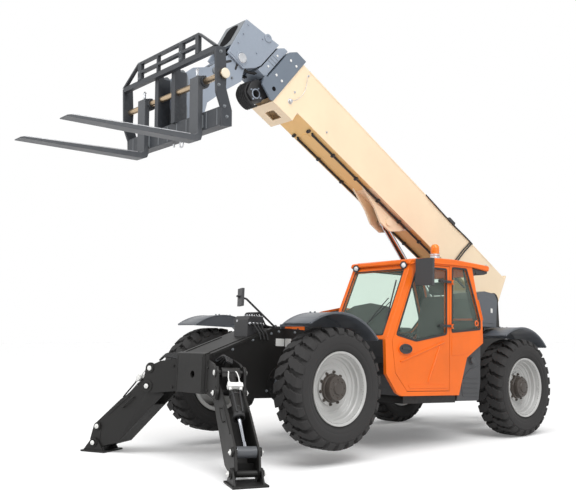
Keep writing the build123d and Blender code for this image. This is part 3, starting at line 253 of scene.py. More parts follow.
# what differs from that in single slots
SLOT_LOOK = {
    # the cream's brown hollow colour is painted shade in its creases
    "boom_cream": dict(roughness=0.36, coat=0.35, vary=0.04, hollow_dust_and_shade=0.1, hollow_dust_and_shade_colour=(0.45, 0.3, 0.17),
                       worn=0.1, worn_colour=(0.95, 0.85, 0.7)),
    "section_grey": dict(colour=(0.27, 0.31, 0.37), roughness=0.4, vary=0.04, patch=2, worn=0.08,
                         worn_colour=(0.6, 0.64, 0.7)),
    "fork_steel": dict(colour=(0.062, 0.067, 0.075), roughness=0.5, vary=0.12, patch=3, worn=0.1,
                       worn_colour=(0.3, 0.28, 0.26)),
    # the rim's dark hollow colour is painted shade in its grooves
    "rim_silver": dict(colour=(0.44, 0.44, 0.43), roughness=0.38, coat=0.15, hollow_dust_and_shade=0.5,
                       hollow_dust_and_shade_colour=(0.16, 0.14, 0.12)),
    "chassis_paint": dict(colour=(0.012, 0.0115, 0.011), roughness=0.5, coat=0, specular=0.3, worn=0.04,
                          hollow_dust_and_shade=0.1, hollow_dust_and_shade_colour=(0.06, 0.055, 0.05)),
    "cab_orange": dict(colour=(0.82, 0.148, 0.009), roughness=0.4, coat=0, specular=0.3, worn=0.03,
                       hollow_dust_and_shade=0.04),
    "carriage_dark": dict(colour=(0.034, 0.038, 0.045), roughness=0.45, coat=0, specular=0.4, worn=0.05),
    "dark_grey_paint": dict(roughness=0.4, coat=0.1, specular=0.4, worn=0.05),
    "tyre_rubber": dict(colour=(0.022, 0.021, 0.021)),
    "rod_chrome": dict(colour=(0.5, 0.52, 0.56)),
}
# finishes that aren't a slot, each with the slot it usually belongs to
EXTRA_LOOK = {
    "rubber": ("black_plastic", dict(colour=(0.022, 0.022, 0.023), roughness=0.7, relief=0.2, grain=700)),
    "hub_paint": ("dark_grey_paint", dict(colour=(0.045, 0.036, 0.030), roughness=0.45, hollow_dust_and_shade=0.3, worn=0.1,
                                          worn_colour=(0.2, 0.17, 0.15), relief=0.2, grain=300)),
    "zinc": ("boom_cream", dict(colour=(0.55, 0.56, 0.58), metallic=1, roughness=0.38, vary=0.12, patch=30)),
    # painted shade: a darker tan version of the boom's cream, for its underside
    "boom_tan": ("boom_cream", dict(colour=(0.86, 0.56, 0.23), hollow_dust_and_shade=0.1, vary=0.05)),
    "collar_grey": (None, dict(colour=(0.135, 0.165, 0.205), roughness=0.4, coat=0.1, worn=0.06)),
    # near black: painted shade in holes and openings, and the dark wear strips
    "dark_opening": ("section_grey", dict(colour=(0.005, 0.005, 0.006), roughness=0.8, specular=0.1)),
    "cap_cream": ("shaft_steel", dict(colour=(0.74, 0.66, 0.52), roughness=0.4, coat=0.2)),
    "label": ("boom_cream", dict(colour=(0.78, 0.78, 0.76), roughness=0.4, vary=0.03, relief=0.03)),
    "orange_plastic": ("cab_orange", dict(colour=(0.75, 0.14, 0.02), roughness=0.4, relief=0.1)),
    "red_lens": ("beacon_amber", dict(colour=(0.45, 0.01, 0.01), roughness=0.15, coat=0.6, relief=0.2,
                                      grain=300)),
    "clear_lens": ("cab_glass", dict(colour=(0.8, 0.82, 0.84), roughness=0.12, coat=0.6, relief=0.3,
                                     grain=260)),
    "mirror_glass": ("rod_chrome", dict(colour=(0.75, 0.78, 0.8), metallic=1, roughness=0.05, vary=0.01,
                                        rough_vary=0.01)),
    "plate_grey": ("dark_grey_paint", dict(colour=(0.16, 0.175, 0.19), roughness=0.4, coat=0.1, hollow_dust_and_shade=0.1,
                                           worn=0.08)),
}


def slot_material(name):
    entry = SLOT[name]
    look = {"colour": entry["base_color"], **LOOK[entry["class"]], **SLOT_LOOK.get(name, {})}
    return finish_material(name, **look)


GLASS_TINT = (0.92, 0.965, 0.935)
LEAST_GLARE, MOST_GLARE = 0.04, 0.5


def clear_glass(material):
    """Let tinted light straight through the glass, with a reflection that grows towards grazing angles."""
    tree = material.node_tree
    through = add_node(tree, "BsdfTransparent", {"Color": GLASS_TINT})
    facing = add_node(tree, "LayerWeight", {"Blend": 0.15})
    reflected = ramp(tree, facing.outputs["Fresnel"], 0, 1, LEAST_GLARE, MOST_GLARE)
    gloss = tree.nodes["Principled BSDF"]
    both = add_node(tree, "MixShader", {0: reflected, 1: through.outputs[0], 2: gloss.outputs[0]})
    feed(tree, tree.nodes["Material Output"].inputs["Surface"], both.outputs[0])


MATERIAL = {name: slot_material(name) for name in SLOT}
MATERIAL.update({name: finish_material(name, **look) for name, (_, look) in EXTRA_LOOK.items()})
clear_glass(MATERIAL["cab_glass"])


# ---------------------------------------------------------------- drawing
def rounded(outline, radius, steps=4):
    """A 2-D outline with its corners rounded."""
    points = [Vector(p) for p in outline]
    out = []
    for i, p in enumerate(points):
        to_last, to_next = points[i - 1] - p, points[(i + 1) % len(points)] - p
        reach = min(radius, to_last.length * 0.48, to_next.length * 0.48)
        start, end = p + to_last.normalized() * reach, p + to_next.normalized() * reach
        for k in range(steps + 1):
            t = k / steps
            out.append(tuple(start * (1 - t) ** 2 + p * 2 * t * (1 - t) + end * t * t))
    return out


def panel(a0, a1, b0, b1, radius=0, steps=4):
    """A rectangle's outline, its corners rounded if there is a radius."""
    corners = [(a0, b0), (a1, b0), (a1, b1), (a0, b1)]
    return rounded(corners, radius, steps) if radius else corners


def circle(count, radius, start=0.0):
    turns = [start + 2 * pi * k / count for k in range(count)]
    return [(radius * cos(a), radius * sin(a)) for a in turns]


def grow(outline, amount):
    """A 2-D outline moved outward by amount."""
    points = [Vector(p) for p in outline]
    following = points[1:] + points[:1]
    area = sum(a.x * b.y - b.x * a.y for a, b in zip(points, following))
    sign = amount if area > 0 else -amount
    out = []
    for i, p in enumerate(points):
        a, b = (p - points[i - 1]).normalized(), (following[i] - p).normalized()
        na, nb = Vector((a.y, -a.x)), Vector((b.y, -b.x))
        out.append(tuple(p + (na + nb) * (sign / max(0.3, 1 + na.dot(nb)))))
    return out


def smooth_path(points, between=6):
    """A curve through the points."""
    p = [Vector(q) for q in points]
    p = [2 * p[0] - p[1]] + p + [2 * p[-1] - p[-2]]
    out = []
    for a, b, c, d in zip(p, p[1:], p[2:], p[3:]):
        for k in range(between):
            t = k / between
            out.append(0.5 * (2 * b + (c - a) * t + (2 * a - 5 * b + 4 * c - d) * t * t
                              + (3 * b - a - 3 * c + d) * t ** 3))
    return out + [p[-2]]


def across(direction):
    """Two directions square to this one and to each other."""
    d = Vector(direction).normalized()
    side = d.cross(Vector((0, 0, 1)) if abs(d.z) < 0.9 else Vector((1, 0, 0))).normalized()
    return side, d.cross(side)


def lift(outline, axis, w):
    """A 2-D outline as 3-D points at w along the axis."""
    at = "xyz".index(axis)
    return [(*p[:at], w, *p[at:]) for p in map(tuple, outline)]


def add_bevel(obj, width, angle=32):
    edge = obj.modifiers.new("edge", "BEVEL")
    edge.width = width / 1000
    edge.segments = 2
    edge.limit_method = "ANGLE"
    edge.angle_limit = radians(angle)
    edge.harden_normals = True


class Piece:
    """Solids drawn in millimetres in one of the machine's frames, made into one piece on a body."""

    drawn = []

    def __init__(self, name, material, body="chassis", place=None, bevel=2.0, angle=32, slot=None,
                 replaces=()):
        self.mesh = bmesh.new()
        self.name, self.material, self.body, self.bevel, self.angle = name, material, body, bevel, angle
        self.place = (place or HOME.get(body, MACHINE)) @ MM
        self.slot = material if material in SLOT else slot or EXTRA_LOOK[material][0]
        self.replaces = replaces
        self.padded = False
        self.drawn.append(self)

    def skin(self, rings, loop=False):
        """Faces between rings of points; loop joins the last ring to the first, else the ends are closed."""
        rows = [[self.mesh.verts.new(Vector(p)) for p in ring] for ring in rings]
        for a, b in list(zip(rows, rows[1:])) + ([(rows[-1], rows[0])] if loop else []):
            for i in range(len(a)):
                j = (i + 1) % len(a)
                self.mesh.faces.new((a[i], a[j], b[j], b[i]))
        if not loop:
            self.mesh.faces.new(rows[0][::-1])
            self.mesh.faces.new(rows[-1])
        return self

    def prism(self, outline, axis, start, end, radius=0):
        """A 2-D outline, its corners rounded if there is a radius, drawn out along the axis."""
        outline = rounded(outline, radius) if radius else outline
        return self.skin([lift(outline, axis, start), lift(outline, axis, end)])

    def band(self, outline, width, axis, start, end):
        """A frame of this width inside the outline."""
        inner = grow(outline, -width)
        rings = [(outline, start), (outline, end), (inner, end), (inner, start)]
        return self.skin([lift(o, axis, w) for o, w in rings], loop=True)

    def block(self, x0, x1, y0, y1, z0, z1):
        return self.prism(panel(x0, x1, y0, y1), "z", z0, z1)

    def turned(self, profile, at, direction, steps=32, loop=False):
        """A lathe form from (along, radius) pairs about the direction; loop leaves its middle open."""
        u, v = across(direction)
        d, at = Vector(direction).normalized(), Vector(at)
        return self.skin([[at + d * along + u * a + v * b for a, b in circle(steps, radius)]
                          for along, radius in profile], loop)

    def rod(self, start, end, radius, steps=20):
        length = (Vector(end) - Vector(start)).length
        return self.turned([(0, radius), (length, radius)], start, Vector(end) - Vector(start), steps)

    def bolt(self, at, direction, size):
        """Hexagon head of this width on its washer."""
        self.turned([(-2, size * 0.75), (size * 0.12, size * 0.75)], at, direction, 16)
        head = [(size * 0.1, size * 0.55), (size * 0.62, size * 0.55), (size * 0.7, size * 0.45)]
        return self.turned(head, at, direction, 6)

    def side_bolts(self, x, places, size):
        """Bolts that face along x, at these (y, z) places."""
        for y, z in places:
            self.bolt((x, y, z), (x, 0, 0), size)
        return self

    def pipe(self, points, radius, steps=10, smooth=True):
        """A tube along a path."""
        path = smooth_path(points) if smooth else [Vector(p) for p in points]
        u, _ = across(path[1] - path[0])
        rings = []
        for i, p in enumerate(path):
            d = (path[min(i + 1, len(path) - 1)] - path[max(i - 1, 0)]).normalized()
            u = (u - d * u.dot(d)).normalized()
            v = d.cross(u)
            rings.append([p + u * a + v * b for a, b in circle(steps, radius)])
        return self.skin(rings)

    def mirror(self, axis="x"):
        """Copy what has been drawn so far to the other side of the frame's origin."""
        parts = [*self.mesh.verts, *self.mesh.edges, *self.mesh.faces]
        for item in bmesh.ops.duplicate(self.mesh, geom=parts)["geom"]:
            if isinstance(item, bmesh.types.BMVert):
                item.co["xyz".index(axis)] *= -1
        return self

    def finish(self):
        """Make the piece: sharp edges by angle, a small bevel on them, and a ride on its body."""
        self.mesh.normal_update()
        bmesh.ops.recalc_face_normals(self.mesh, faces=self.mesh.faces)
        self.mesh.transform(self.place)
        for face in self.mesh.faces:
            face.smooth = True
        for edge in self.mesh.edges:
            edge.smooth = edge.calc_face_angle(0) < radians(self.angle)
        data = bpy.data.meshes.new(self.name)
        self.mesh.to_mesh(data)
        self.mesh.free()
        obj = bpy.data.objects.new(self.name, data)
        bpy.context.scene.collection.objects.link(obj)
        data.materials.append(MATERIAL[self.material])
        if self.bevel:
            add_bevel(obj, self.bevel, self.angle)
        if self.padded:
            rounding = obj.modifiers.new("rounding", "SUBSURF")
            rounding.levels = rounding.render_levels = 2
        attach(obj, self.body)
        if self.replaces:
            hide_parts(*self.replaces)


# ---------------------------------------------------------------- the CAD nodes
# edge rounding in millimetres where it isn't the usual one
EDGE = {"cab_roof": 22, "cab_left_side": 9, "cab_right_side": 9, "cab_door": 9, "cab_front": 7,
        "cab_front_panel": 8, "engine_hood": 22, "fuel_tank": 24, "hydraulic_tank": 34, "counterweight": 24,
        "door_mirror": 26, "front_mirror": 9, "seat_base": 20, "dashboard": 16, "fenders": 5, "boom_outer": 5,
        "cab_rear_wall": 8, "hose_carrier": 8, "engine_block": 20}
USUAL_EDGE = 3.5
# nodes whose finish isn't their slot's
NODE_LOOK = {"boom_second": "collar_grey", "tilt_pin": "zinc"}


def dress_nodes():
    for node, obj in NODES.items():
        obj.data.materials.clear()
        obj.data.materials.append(MATERIAL[NODE_LOOK.get(node, NODE_SLOT[node])])
        weld = obj.modifiers.new("weld", "WELD")
        weld.merge_threshold = 0.00002
        flat = obj.modifiers.new("flat", "DECIMATE")
        flat.decimate_type = "DISSOLVE"
        flat.angle_limit = radians(0.4)
        add_bevel(obj, EDGE.get(node, USUAL_EDGE))


dress_nodes()


# ---------------------------------------------------------------- wheels
# stations of a tread block: across the tyre, angle along the tread, half its angle, top radius,
# across the tyre at its foot, foot radius
LUG = [
    (-12, 0.0, 1.8, 633, -12, 590), (15, 1.4, 4.3, 633, 15, 590), (66, 5.2, 4.5, 633, 66, 590),
    (92, 4.6, 4.6, 633, 92, 589), (140, 7.4, 4.5, 630, 136, 586), (174, 8.4, 4.3, 618, 160, 574),
    (190, 8.8, 4.1, 594, 174, 556), (197, 9.0, 3.8, 566, 184, 543),
]
LUGS, FOOT_SPREAD_DEG = 26, 0.5
# half profiles: (along the axle, radius)
TYRE_SIDE = [(60, 598), (118, 597), (150, 591), (170, 578), (184, 558), (193, 545), (197.5, 541), (200, 520),
             (201.5, 490), (198, 462), (195, 458), (194, 446), (188, 424), (184, 420), (174, 402), (166, 391),
             (165.5, 352)]
RIM_PROFILE = [(-183, 338), (-183.5, 383), (-179, 384), (-166, 384), (-165, 352), (165, 352), (166, 384),
               (178, 384), (183.5, 381), (183, 374), (176, 364), (166, 356), (150, 348), (128, 345),
               (116, 343), (108, 337), (102, 330), (70, 327), (60, 324), (54, 316), (50, 308), (40, 305),
               (34, 298), (30, 270), (26, 262), (22, 260), (20, 246), (24, 240), (24, 234), (20, 228),
               (20, 192), (24, 186), (44, 184), (46, 180), (46, 120), (-40, 120), (-40, 142), (2, 150),
               (2, 250), (18, 296), (60, 336)]
HUB_PROFILE = [(40, 152), (62, 150), (70, 145), (72, 136), (78, 131), (130, 127), (137, 123), (140, 114),
               (140, 68), (146, 64), (154, 60), (157, 50), (157, 4)]
OUTWARD, UPWARD = (1, 0, 0), (0, 0, 1)


def tread(tyre, lean):
    """Staggered blocks on both shoulders; lean is 1 or -1, the way they point."""
    step = 360 / LUGS
    for flip, first in ((1, 0), (-1, step / 2)):
        for k in range(LUGS):
            rings = []
            for x, shift, half, top, foot_x, foot in LUG:
                middle = k * step + first + lean * shift
                a, b = radians(middle - half), radians(middle + half)
                wide_a, wide_b = (radians(middle + s * (half + FOOT_SPREAD_DEG)) for s in (-1, 1))
                corners = ((foot_x, foot, wide_a), (x, top, a), (x, top, b), (foot_x, foot, wide_b))
                rings.append([(flip * px, r * cos(turn), r * sin(turn)) for px, r, turn in corners])
            tyre.skin(rings)


def wheel(end, side):
    place, body, name = wheel_frame(end, side), f"{end}_{side}_wheel", f"{end}_{side}"
    tyre = Piece(f"{name}_tyre_tread", "tyre_rubber", body, place, bevel=3, replaces=[f"{name}_tyre"])
    tyre.turned(TYRE_SIDE[::-1] + [(-x, r) for x, r in TYRE_SIDE], (0, 0, 0), OUTWARD, 96, loop=True)
    tread(tyre, 1 if side == "left" else -1)
    rim = Piece(f"{name}_rim_barrel", "rim_silver", body, place, bevel=1.5, angle=38,
                replaces=[f"{name}_rim"])
    rim.turned(RIM_PROFILE, (0, 0, 0), OUTWARD, 72, loop=True)
    rim.turned([(0, 5), (34, 5), (36, 3)], (150, 346, 0), (0.4, -1, 0), 10)
    hub = Piece(f"{name}_hub", "hub_paint", body, place, bevel=1.5)
    hub.turned(HUB_PROFILE, (0, 0, 0), OUTWARD, 48)
    for y, z in circle(10, 168, 0.2):
        hub.turned([(-2, 17), (4, 17), (5, 12)], (46, y, z), OUTWARD, 16)
        hub.turned([(3, 15), (18, 15), (20, 9), (27, 8), (28, 6)], (46, y, z), OUTWARD, 6)
    hub.side_bolts(139, circle(8, 92), 15)


for end in ("front", "rear"):
    for side in ("left", "right"):
        wheel(end, side)


# ---------------------------------------------------------------- outriggers
# (outward, height) of the leg's pins, and how far out across the leg its faces, the ears and the gussets are
LEG_PIVOT, CYLINDER_TOP, CYLINDER_FOOT, PAD_PIN = (759, 567), (735, 765), (1440, 80), (1470, -104)
LEG_FACE, EAR_FACE, GUSSET_FACE = 120, 150, 142
ACROSS_LEG = (0, 1, 0)


def on_face(point, y):
    """A point of the leg's side view at y across it."""
    return (point[0], y, point[1])


def leg_details(place, leg):
    """Bright pin heads, and the foot's doubler plates and grab loop on the leg's faces."""
    pins = Piece(f"{leg}_pin_caps", "label", leg, place, bevel=1, slot="rod_chrome")
    for pin, reach, radius in ((LEG_PIVOT, 172, 27), (PAD_PIN, 166, 26), (CYLINDER_FOOT, 146, 27)):
        pins.turned([(-3, radius), (6, radius), (9, radius - 5)], on_face(pin, reach), ACROSS_LEG, 24)
        pins.bolt(on_face(pin, reach + 8), ACROSS_LEG, 18)
    pins.mirror("y")
    plates = Piece(f"{leg}_plates", "chassis_paint", leg, place)
    plates.prism([(1390, 60), (1420, 135), (1470, 110), (1530, -60), (1480, -168), (1410, -130)], "y",
                 LEG_FACE, LEG_FACE + 4, 28)
    plates.turned([(0, 44), (20, 44), (24, 40)], on_face(CYLINDER_FOOT, LEG_FACE), ACROSS_LEG, 28)
    plates.pipe([(960, 120, 430), (960, 146, 425), (1080, 146, 322), (1080, 120, 318)], 7)
    plates.prism([(1010, 470), (1300, 235), (1290, 222), (1000, 457)], "y", 119, 126)
    plates.mirror("y")


def leg_cylinder_details(place, barrel):
    """Valve block, hose ends and gland on the barrel, drawn along the cylinder."""
    top, foot = Vector(on_face(CYLINDER_TOP, 0)), Vector(on_face(CYLINDER_FOOT, 0))
    along_cylinder = place @ frame_matrix(top / 1000, (foot - top).normalized(), Vector(ACROSS_LEG))
    valve = Piece(f"{barrel}_valve", "label", barrel, along_cylinder, bevel=3)
    valve.prism(panel(212, 262, -76, 76, 8), "z", 40, 92)
    for y in (-52, 52):
        for x, along in ((262, 1), (212, -1)):
            valve.turned([(0, 15), (26, 15), (30, 11)], (x, y, 66), (along, 0, 0), 6)
        valve.pipe([(184, y, 66), (130, y, 74), (70, y * 0.8, 78), (40, y * 0.7, 60)], 6)
    collars = Piece(f"{barrel}_collars_and_lines", "rubber", barrel, along_cylinder, bevel=1.5)
    for x in (300, 470):
        collars.turned([(0, 47), (2, 54), (18, 54), (20, 47)], (x, 0, 0), OUTWARD, 32, loop=True)
    collars.turned([(0, 47), (2, 60), (40, 60), (44, 47)], (548, 0, 0), OUTWARD, 32, loop=True)
    for y in (-26, 26):
        collars.pipe([(289, y * 1.9, 66), (340, y * 1.4, 66), (500, y * 1.2, 62), (560, y, 60)], 9)


def outrigger(side):
    place = leg_frame(side)
    leg, barrel, pad = (f"outrigger_{part}_{side}" for part in ("leg", "barrel", "pad"))
    leg_details(place, leg)
    leg_cylinder_details(place, barrel)
    # dark sleeve round the rod's eye
    sleeve = Piece(f"outrigger_eye_sleeve_{side}", "fork_steel", f"outrigger_rod_{side}", place, bevel=0.8)
    sleeve.turned([(-93, 49), (-93, 52), (93, 52), (93, 49)], on_face(CYLINDER_FOOT, 0), ACROSS_LEG, 40,
                  loop=True)
    # hoses that loop over the cylinder's top
    hoses = Piece(f"outrigger_hoses_{side}", "rubber", place=place, bevel=0)
    for k, y in enumerate((-45, -15, 15, 45)):
        hoses.pipe([(300, y, 880 - 14 * k), (420, y, 905 - 10 * k), (560, y * 0.9, 930 - 12 * k),
                    (650, y * 0.7, 925 - 12 * k), (700, y * 0.5, 872 - 6 * k)], 11)
    # bolts and rings on the ears
    ears = Piece(f"outrigger_ear_rings_{side}", "chassis_paint", place=place, bevel=1.5)
    for bolt in ((330, 830), (420, 800), (330, 600), (430, 570)):
        ears.bolt(on_face(bolt, EAR_FACE), ACROSS_LEG, 22)
    pivot_ring = [(0, 33), (0, 66), (8, 66), (11, 62), (11, 33)]
    ears.turned(pivot_ring, on_face(LEG_PIVOT, EAR_FACE), ACROSS_LEG, 32, loop=True)
    ears.turned([(0, 52), (9, 52), (12, 48)], on_face(CYLINDER_TOP, EAR_FACE), ACROSS_LEG, 28)
    ears.mirror("y")
    caps = Piece(f"outrigger_top_pin_caps_{side}", "label", place=place, bevel=1, slot="rod_chrome")
    caps.turned([(-2, 27), (7, 27), (10, 22)], on_face(CYLINDER_TOP, EAR_FACE + 12), ACROSS_LEG, 24)
    caps.mirror("y")
    # rings round the pin on the foot's gussets
    shoe = Piece(f"{pad}_bosses", "chassis_paint", pad, place)
    shoe.turned([(0, 33), (0, 50), (9, 50), (12, 46), (12, 33)], on_face(PAD_PIN, GUSSET_FACE), ACROSS_LEG,
                28, loop=True)
    shoe.mirror("y")


for side in ("left", "right"):
    outrigger(side)


# ---------------------------------------------------------------- chassis: nose, deck, side plates, rear
DECK_FRONT, DECK_REAR = (-1000, 940), (-160, 1250)
SIDE_X, WHEELBASE, AXLE_Z = 290, 3440, 633
BOOM_PIN = (4120, 1860)


def deck_z(y):
    """Height of the sloping deck."""
    (y0, z0), (y1, z1) = DECK_FRONT, DECK_REAR
    return z0 + (z1 - z0) * (y - y0) / (y1 - y0)


def nose():
    """Rounded lip on the front's top edge, ridges along the deck and upright ribs at the corners."""
    form = Piece("nose_lip_and_ribs", "chassis_paint", bevel=3)
    front, back = deck_z(-960), deck_z(-480)
    form.prism([(-960, front - 2), (-960, front + 9), (-480, back + 9), (-480, back - 2)], "x", 210, 220)
    for x, depth in ((232, -1046), (262, -1029)):
        form.block(x - 4, x + 4, depth - 3, depth + 30, 545, 915)
    form.mirror()
    form.prism([(-1040, 918), (-1040, 944), (-1000, 958), (-960, 960), (-960, 930)], "x", -262, 262, 16)


def deck_covers():
    """Bolted cover on the flat deck, fittings and hoses of the valve block, and a switch."""
    cover = Piece("deck_cover", "chassis_paint")
    cover.prism(panel(-225, 225, -130, 330, 25), "z", 1250, 1257)
    for x in (-200, 200):
        for y in (-105, 100, 305):
            cover.bolt((x, y, 1256), UPWARD, 22)
    fittings = Piece("valve_fittings", "zinc", bevel=1.5, slot="dark_grey_paint")
    for k in range(4):
        fittings.turned([(-4, 17), (26, 17), (30, 12)], (212, 50 * k - 430, 1290), OUTWARD, 6)
        fittings.turned([(-4, 15), (22, 15), (26, 10)], (155 - 45 * k, -340, 1372), UPWARD, 6)
    fittings.turned([(-4, 15), (20, 15)], (20, -432, 1320), (0, -1, 0), 6)
    fittings.block(-20, 205, -300, -240, 1373, 1383)
    hoses = Piece("deck_hoses", "rubber", bevel=0)
    for k in range(4):
        x = 30 + 45 * k
        hoses.pipe([(x, -340, 1390), (x + 8, -330, 1410), (x + 4, -250, 1410), (x - 5, -190, 1340),
                    (x - 8, -120, 1275), (x - 4, 60 + 10 * k, 1272), (x, 240, 1268)], 10)
    for k in range(3):
        y = 50 * k - 400
        hoses.pipe([(238, y, 1290), (262, y + 5, 1280), (280, y + 20, 1240 - 8 * k), (300, y + 50, 1190),
                    (308, y + 70, 1120)], 9)
    switch = Piece("deck_switch", "orange_plastic", bevel=4)
    switch.prism(panel(160, 235, 90, 200, 18), "z", 1257, 1292)
    switch.turned([(0, 22), (10, 22), (14, 14)], (198, 146, 1290), UPWARD, 20)


def side_plates():
    """Bolts, stiffening bars, axle and boom pin plates, and blank labels on the frame's sides."""
    bolts = Piece("frame_bolts", "plate_grey", bevel=1)
    along_the_edge = [(-900, 600), (-900, 880), (-700, 1000), (-430, 1110), (-170, 1190), (-60, 1215),
                      (180, 1215), (330, 1215), (520, 1190), (640, 1190), (-210, 560), (240, 540)]
    bolts.side_bolts(SIDE_X, along_the_edge, 22)
    bolts.side_bolts(SIDE_X, [(y, 560) for y in range(2700, 4300, 260)], 22)
    bolts.side_bolts(SIDE_X, [(3300, 1170), (3580, 1170)], 26)
    bolts.mirror()
    form = Piece("frame_side_plates", "chassis_paint")
    form.prism([(-960, 944), (-170, 1236), (-170, 1212), (-960, 920)], "x", SIDE_X, 297)
    for axle_y in (0, WHEELBASE):
        form.band([(axle_y + y, AXLE_Z + z) for y, z in circle(24, 205)], 92, "x", SIDE_X, 299)
        form.side_bolts(298, [(axle_y + y, AXLE_Z + z) for y, z in circle(8, 172, pi / 8)], 24)
    form.prism([(3830, 1290), (3960, 1290), (4030, 1700), (4030, 1860), (3970, 1860)], "x", SIDE_X, 298, 20)
    form.turned([(0, 92), (14, 92), (18, 86)], (SIDE_X, *BOOM_PIN), OUTWARD, 40)
    form.side_bolts(306, [(BOOM_PIN[0] + y, BOOM_PIN[1] + z) for y, z in circle(6, 70)], 18)
    form.mirror()
    label = Piece("frame_blank_labels", "label", bevel=0)
    label.prism(panel(-100, 25, 1055, 1138, 4), "x", SIDE_X, 292)
    label.prism(panel(38, 128, 1050, 1142, 4), "x", SIDE_X, 292)


def rear_end():
    """Lights in their housings, towing jaw and blank plate."""
    trim = Piece("rear_light_housings", "black_plastic", bevel=3)
    trim.prism(panel(360, 520, 820, 930, 14), "y", 4820, 4836)
    trim.bolt((200, 4820, 700), (0, 1, 0), 40)
    trim.mirror()
    trim.prism(panel(-70, 70, 690, 840, 18), "y", 4810, 4838)
    lights = Piece("rear_lights", "red_lens", bevel=3)
    lights.prism(panel(370, 510, 830, 920, 12), "y", 4826, 4839)
    lights.mirror()
    plate = Piece("blank_plate", "label", bevel=1)
    plate.prism(panel(-255, -95, 905, 1000, 6), "y", 4832, 4840)


nose()
deck_covers()
side_plates()
rear_end()


# ---------------------------------------------------------------- boom
BOOM_SIDE = 200


def boom_hoses():
    """Hoses and their clips under the boom, lines down its side behind the cab, hoses at its tail."""
    hoses = Piece("boom_hoses", "rubber", "boom", bevel=0)
    for x, start in ((-140, -560), (128, -520)):
        hoses.pipe([(x, start, -96), (x, -900, -92), (x, -2600, -92), (x, -3900, -92), (x + 6, -4010, -98),
                    (x + 16, -4050, -84)], 14)
    clips = Piece("boom_hose_clips", "black_plastic", "boom", bevel=1.5)
    for y in range(-4100, -700, 480):
        for x in (-140, 128):
            clips.prism(panel(x - 26, x + 26, y - 16, y + 16, 6), "z", -110, -72)
            clips.bolt((x, y, -109), (0, 0, -1), 14)
    lines = Piece("boom_side_lines", "rubber", "boom", bevel=0)
    path = [(197, -1960, 522), (212, -1900, 508), (213, -1330, 498), (213, -840, 512), (213, -820, 480),
            (213, -900, 300), (213, -960, 128), (204, -985, 60)]
    for shift in (0, 40):
        lines.pipe([(x, y + shift, z) for x, y, z in path], 9)
    tail = Piece("boom_tail_hoses", "rubber", "boom", bevel=0)
    for x in (-70, -10, 50):
        tail.pipe([(x, 226, 380), (x, 262, 330), (x, 268, 200), (x + 10, 240, 90), (x + 10, 205, 30)], 14)


def boom_plates():
    """Flanges along the boom's sides, bosses at its pivot, plates under it in a darker tan as painted shade,
    and bolts.
    """
    strips = Piece("boom_side_strips", "boom_cream", "boom", bevel=1.5)
    strips.prism([(-150, -73), (-4380, -73), (-4380, -50), (-150, -50)], "x", BOOM_SIDE, 204)
    strips.prism([(-160, 500), (-4500, 500), (-4496.4, 518), (-160, 518)], "x", BOOM_SIDE, 204)
    strips.turned([(0, 150), (6, 150), (10, 144)], (BOOM_SIDE, 0, 0), OUTWARD, 40)
    strips.mirror()
    # painted shade: the boom's underside covered in a darker tan
    under = Piece("boom_underside_shade_plates", "boom_tan", "boom")
    for front, back in ((-4376, -2900), (-1950, -420)):
        under.block(-197, 197, front, back, -77, -72)
    under.prism(panel(-60, 60, -4060, -3980, 12), "z", -84, -76)
    bolts = Piece("boom_side_bolts", "zinc", "boom", bevel=1)
    bolts.side_bolts(BOOM_SIDE, [(-4490, 450), (-4560, 120), (-3900, 40), (-800, 430), (-300, 430)], 20)
    bolts.mirror()
    tail = Piece("boom_tail_bolts", "zinc", "boom", bevel=1)
    for h in (-60, 120, 320, 540):
        tail.bolt((175, 225, h), (0, 1, 0), 24)
    tail.mirror()


def boom_fittings():
    """Knob and cable at the boom's mouth, boxes and cable on top."""
    knob = Piece("boom_knob_and_cable", "zinc", "boom", bevel=1)
    profile = [(0, 34), (5, 34), (8, 24), (26, 24), (30, 18), (30, 4)]
    knob.turned(profile, (BOOM_SIDE, -4560, -28), OUTWARD, 28)
    cable = [(214, -4556, -14), (216, -4490, 60), (216, -4450, 200), (212, -4470, 340), (203, -4505, 430)]
    knob.pipe(cable, 3)
    box = Piece("boom_top_box", "black_plastic", "boom", bevel=3)
    box.prism(panel(60, 170, -1330, -1180, 12), "z", 516, 590)
    box.prism(panel(-40, 160, -150, 60, 20), "z", 516, 552)
    box.pipe([(120, -1180, 548), (140, -1100, 530), (150, -900, 526), (150, -400, 526), (120, -140, 530)], 8)


def frame_high_x(node):
    """How far a CAD node reaches along the boom frame's x, in millimetres."""
    inverse = (BOOM @ MM).inverted()
    return max((inverse @ v.co).x for v in NODES[node].data.vertices)


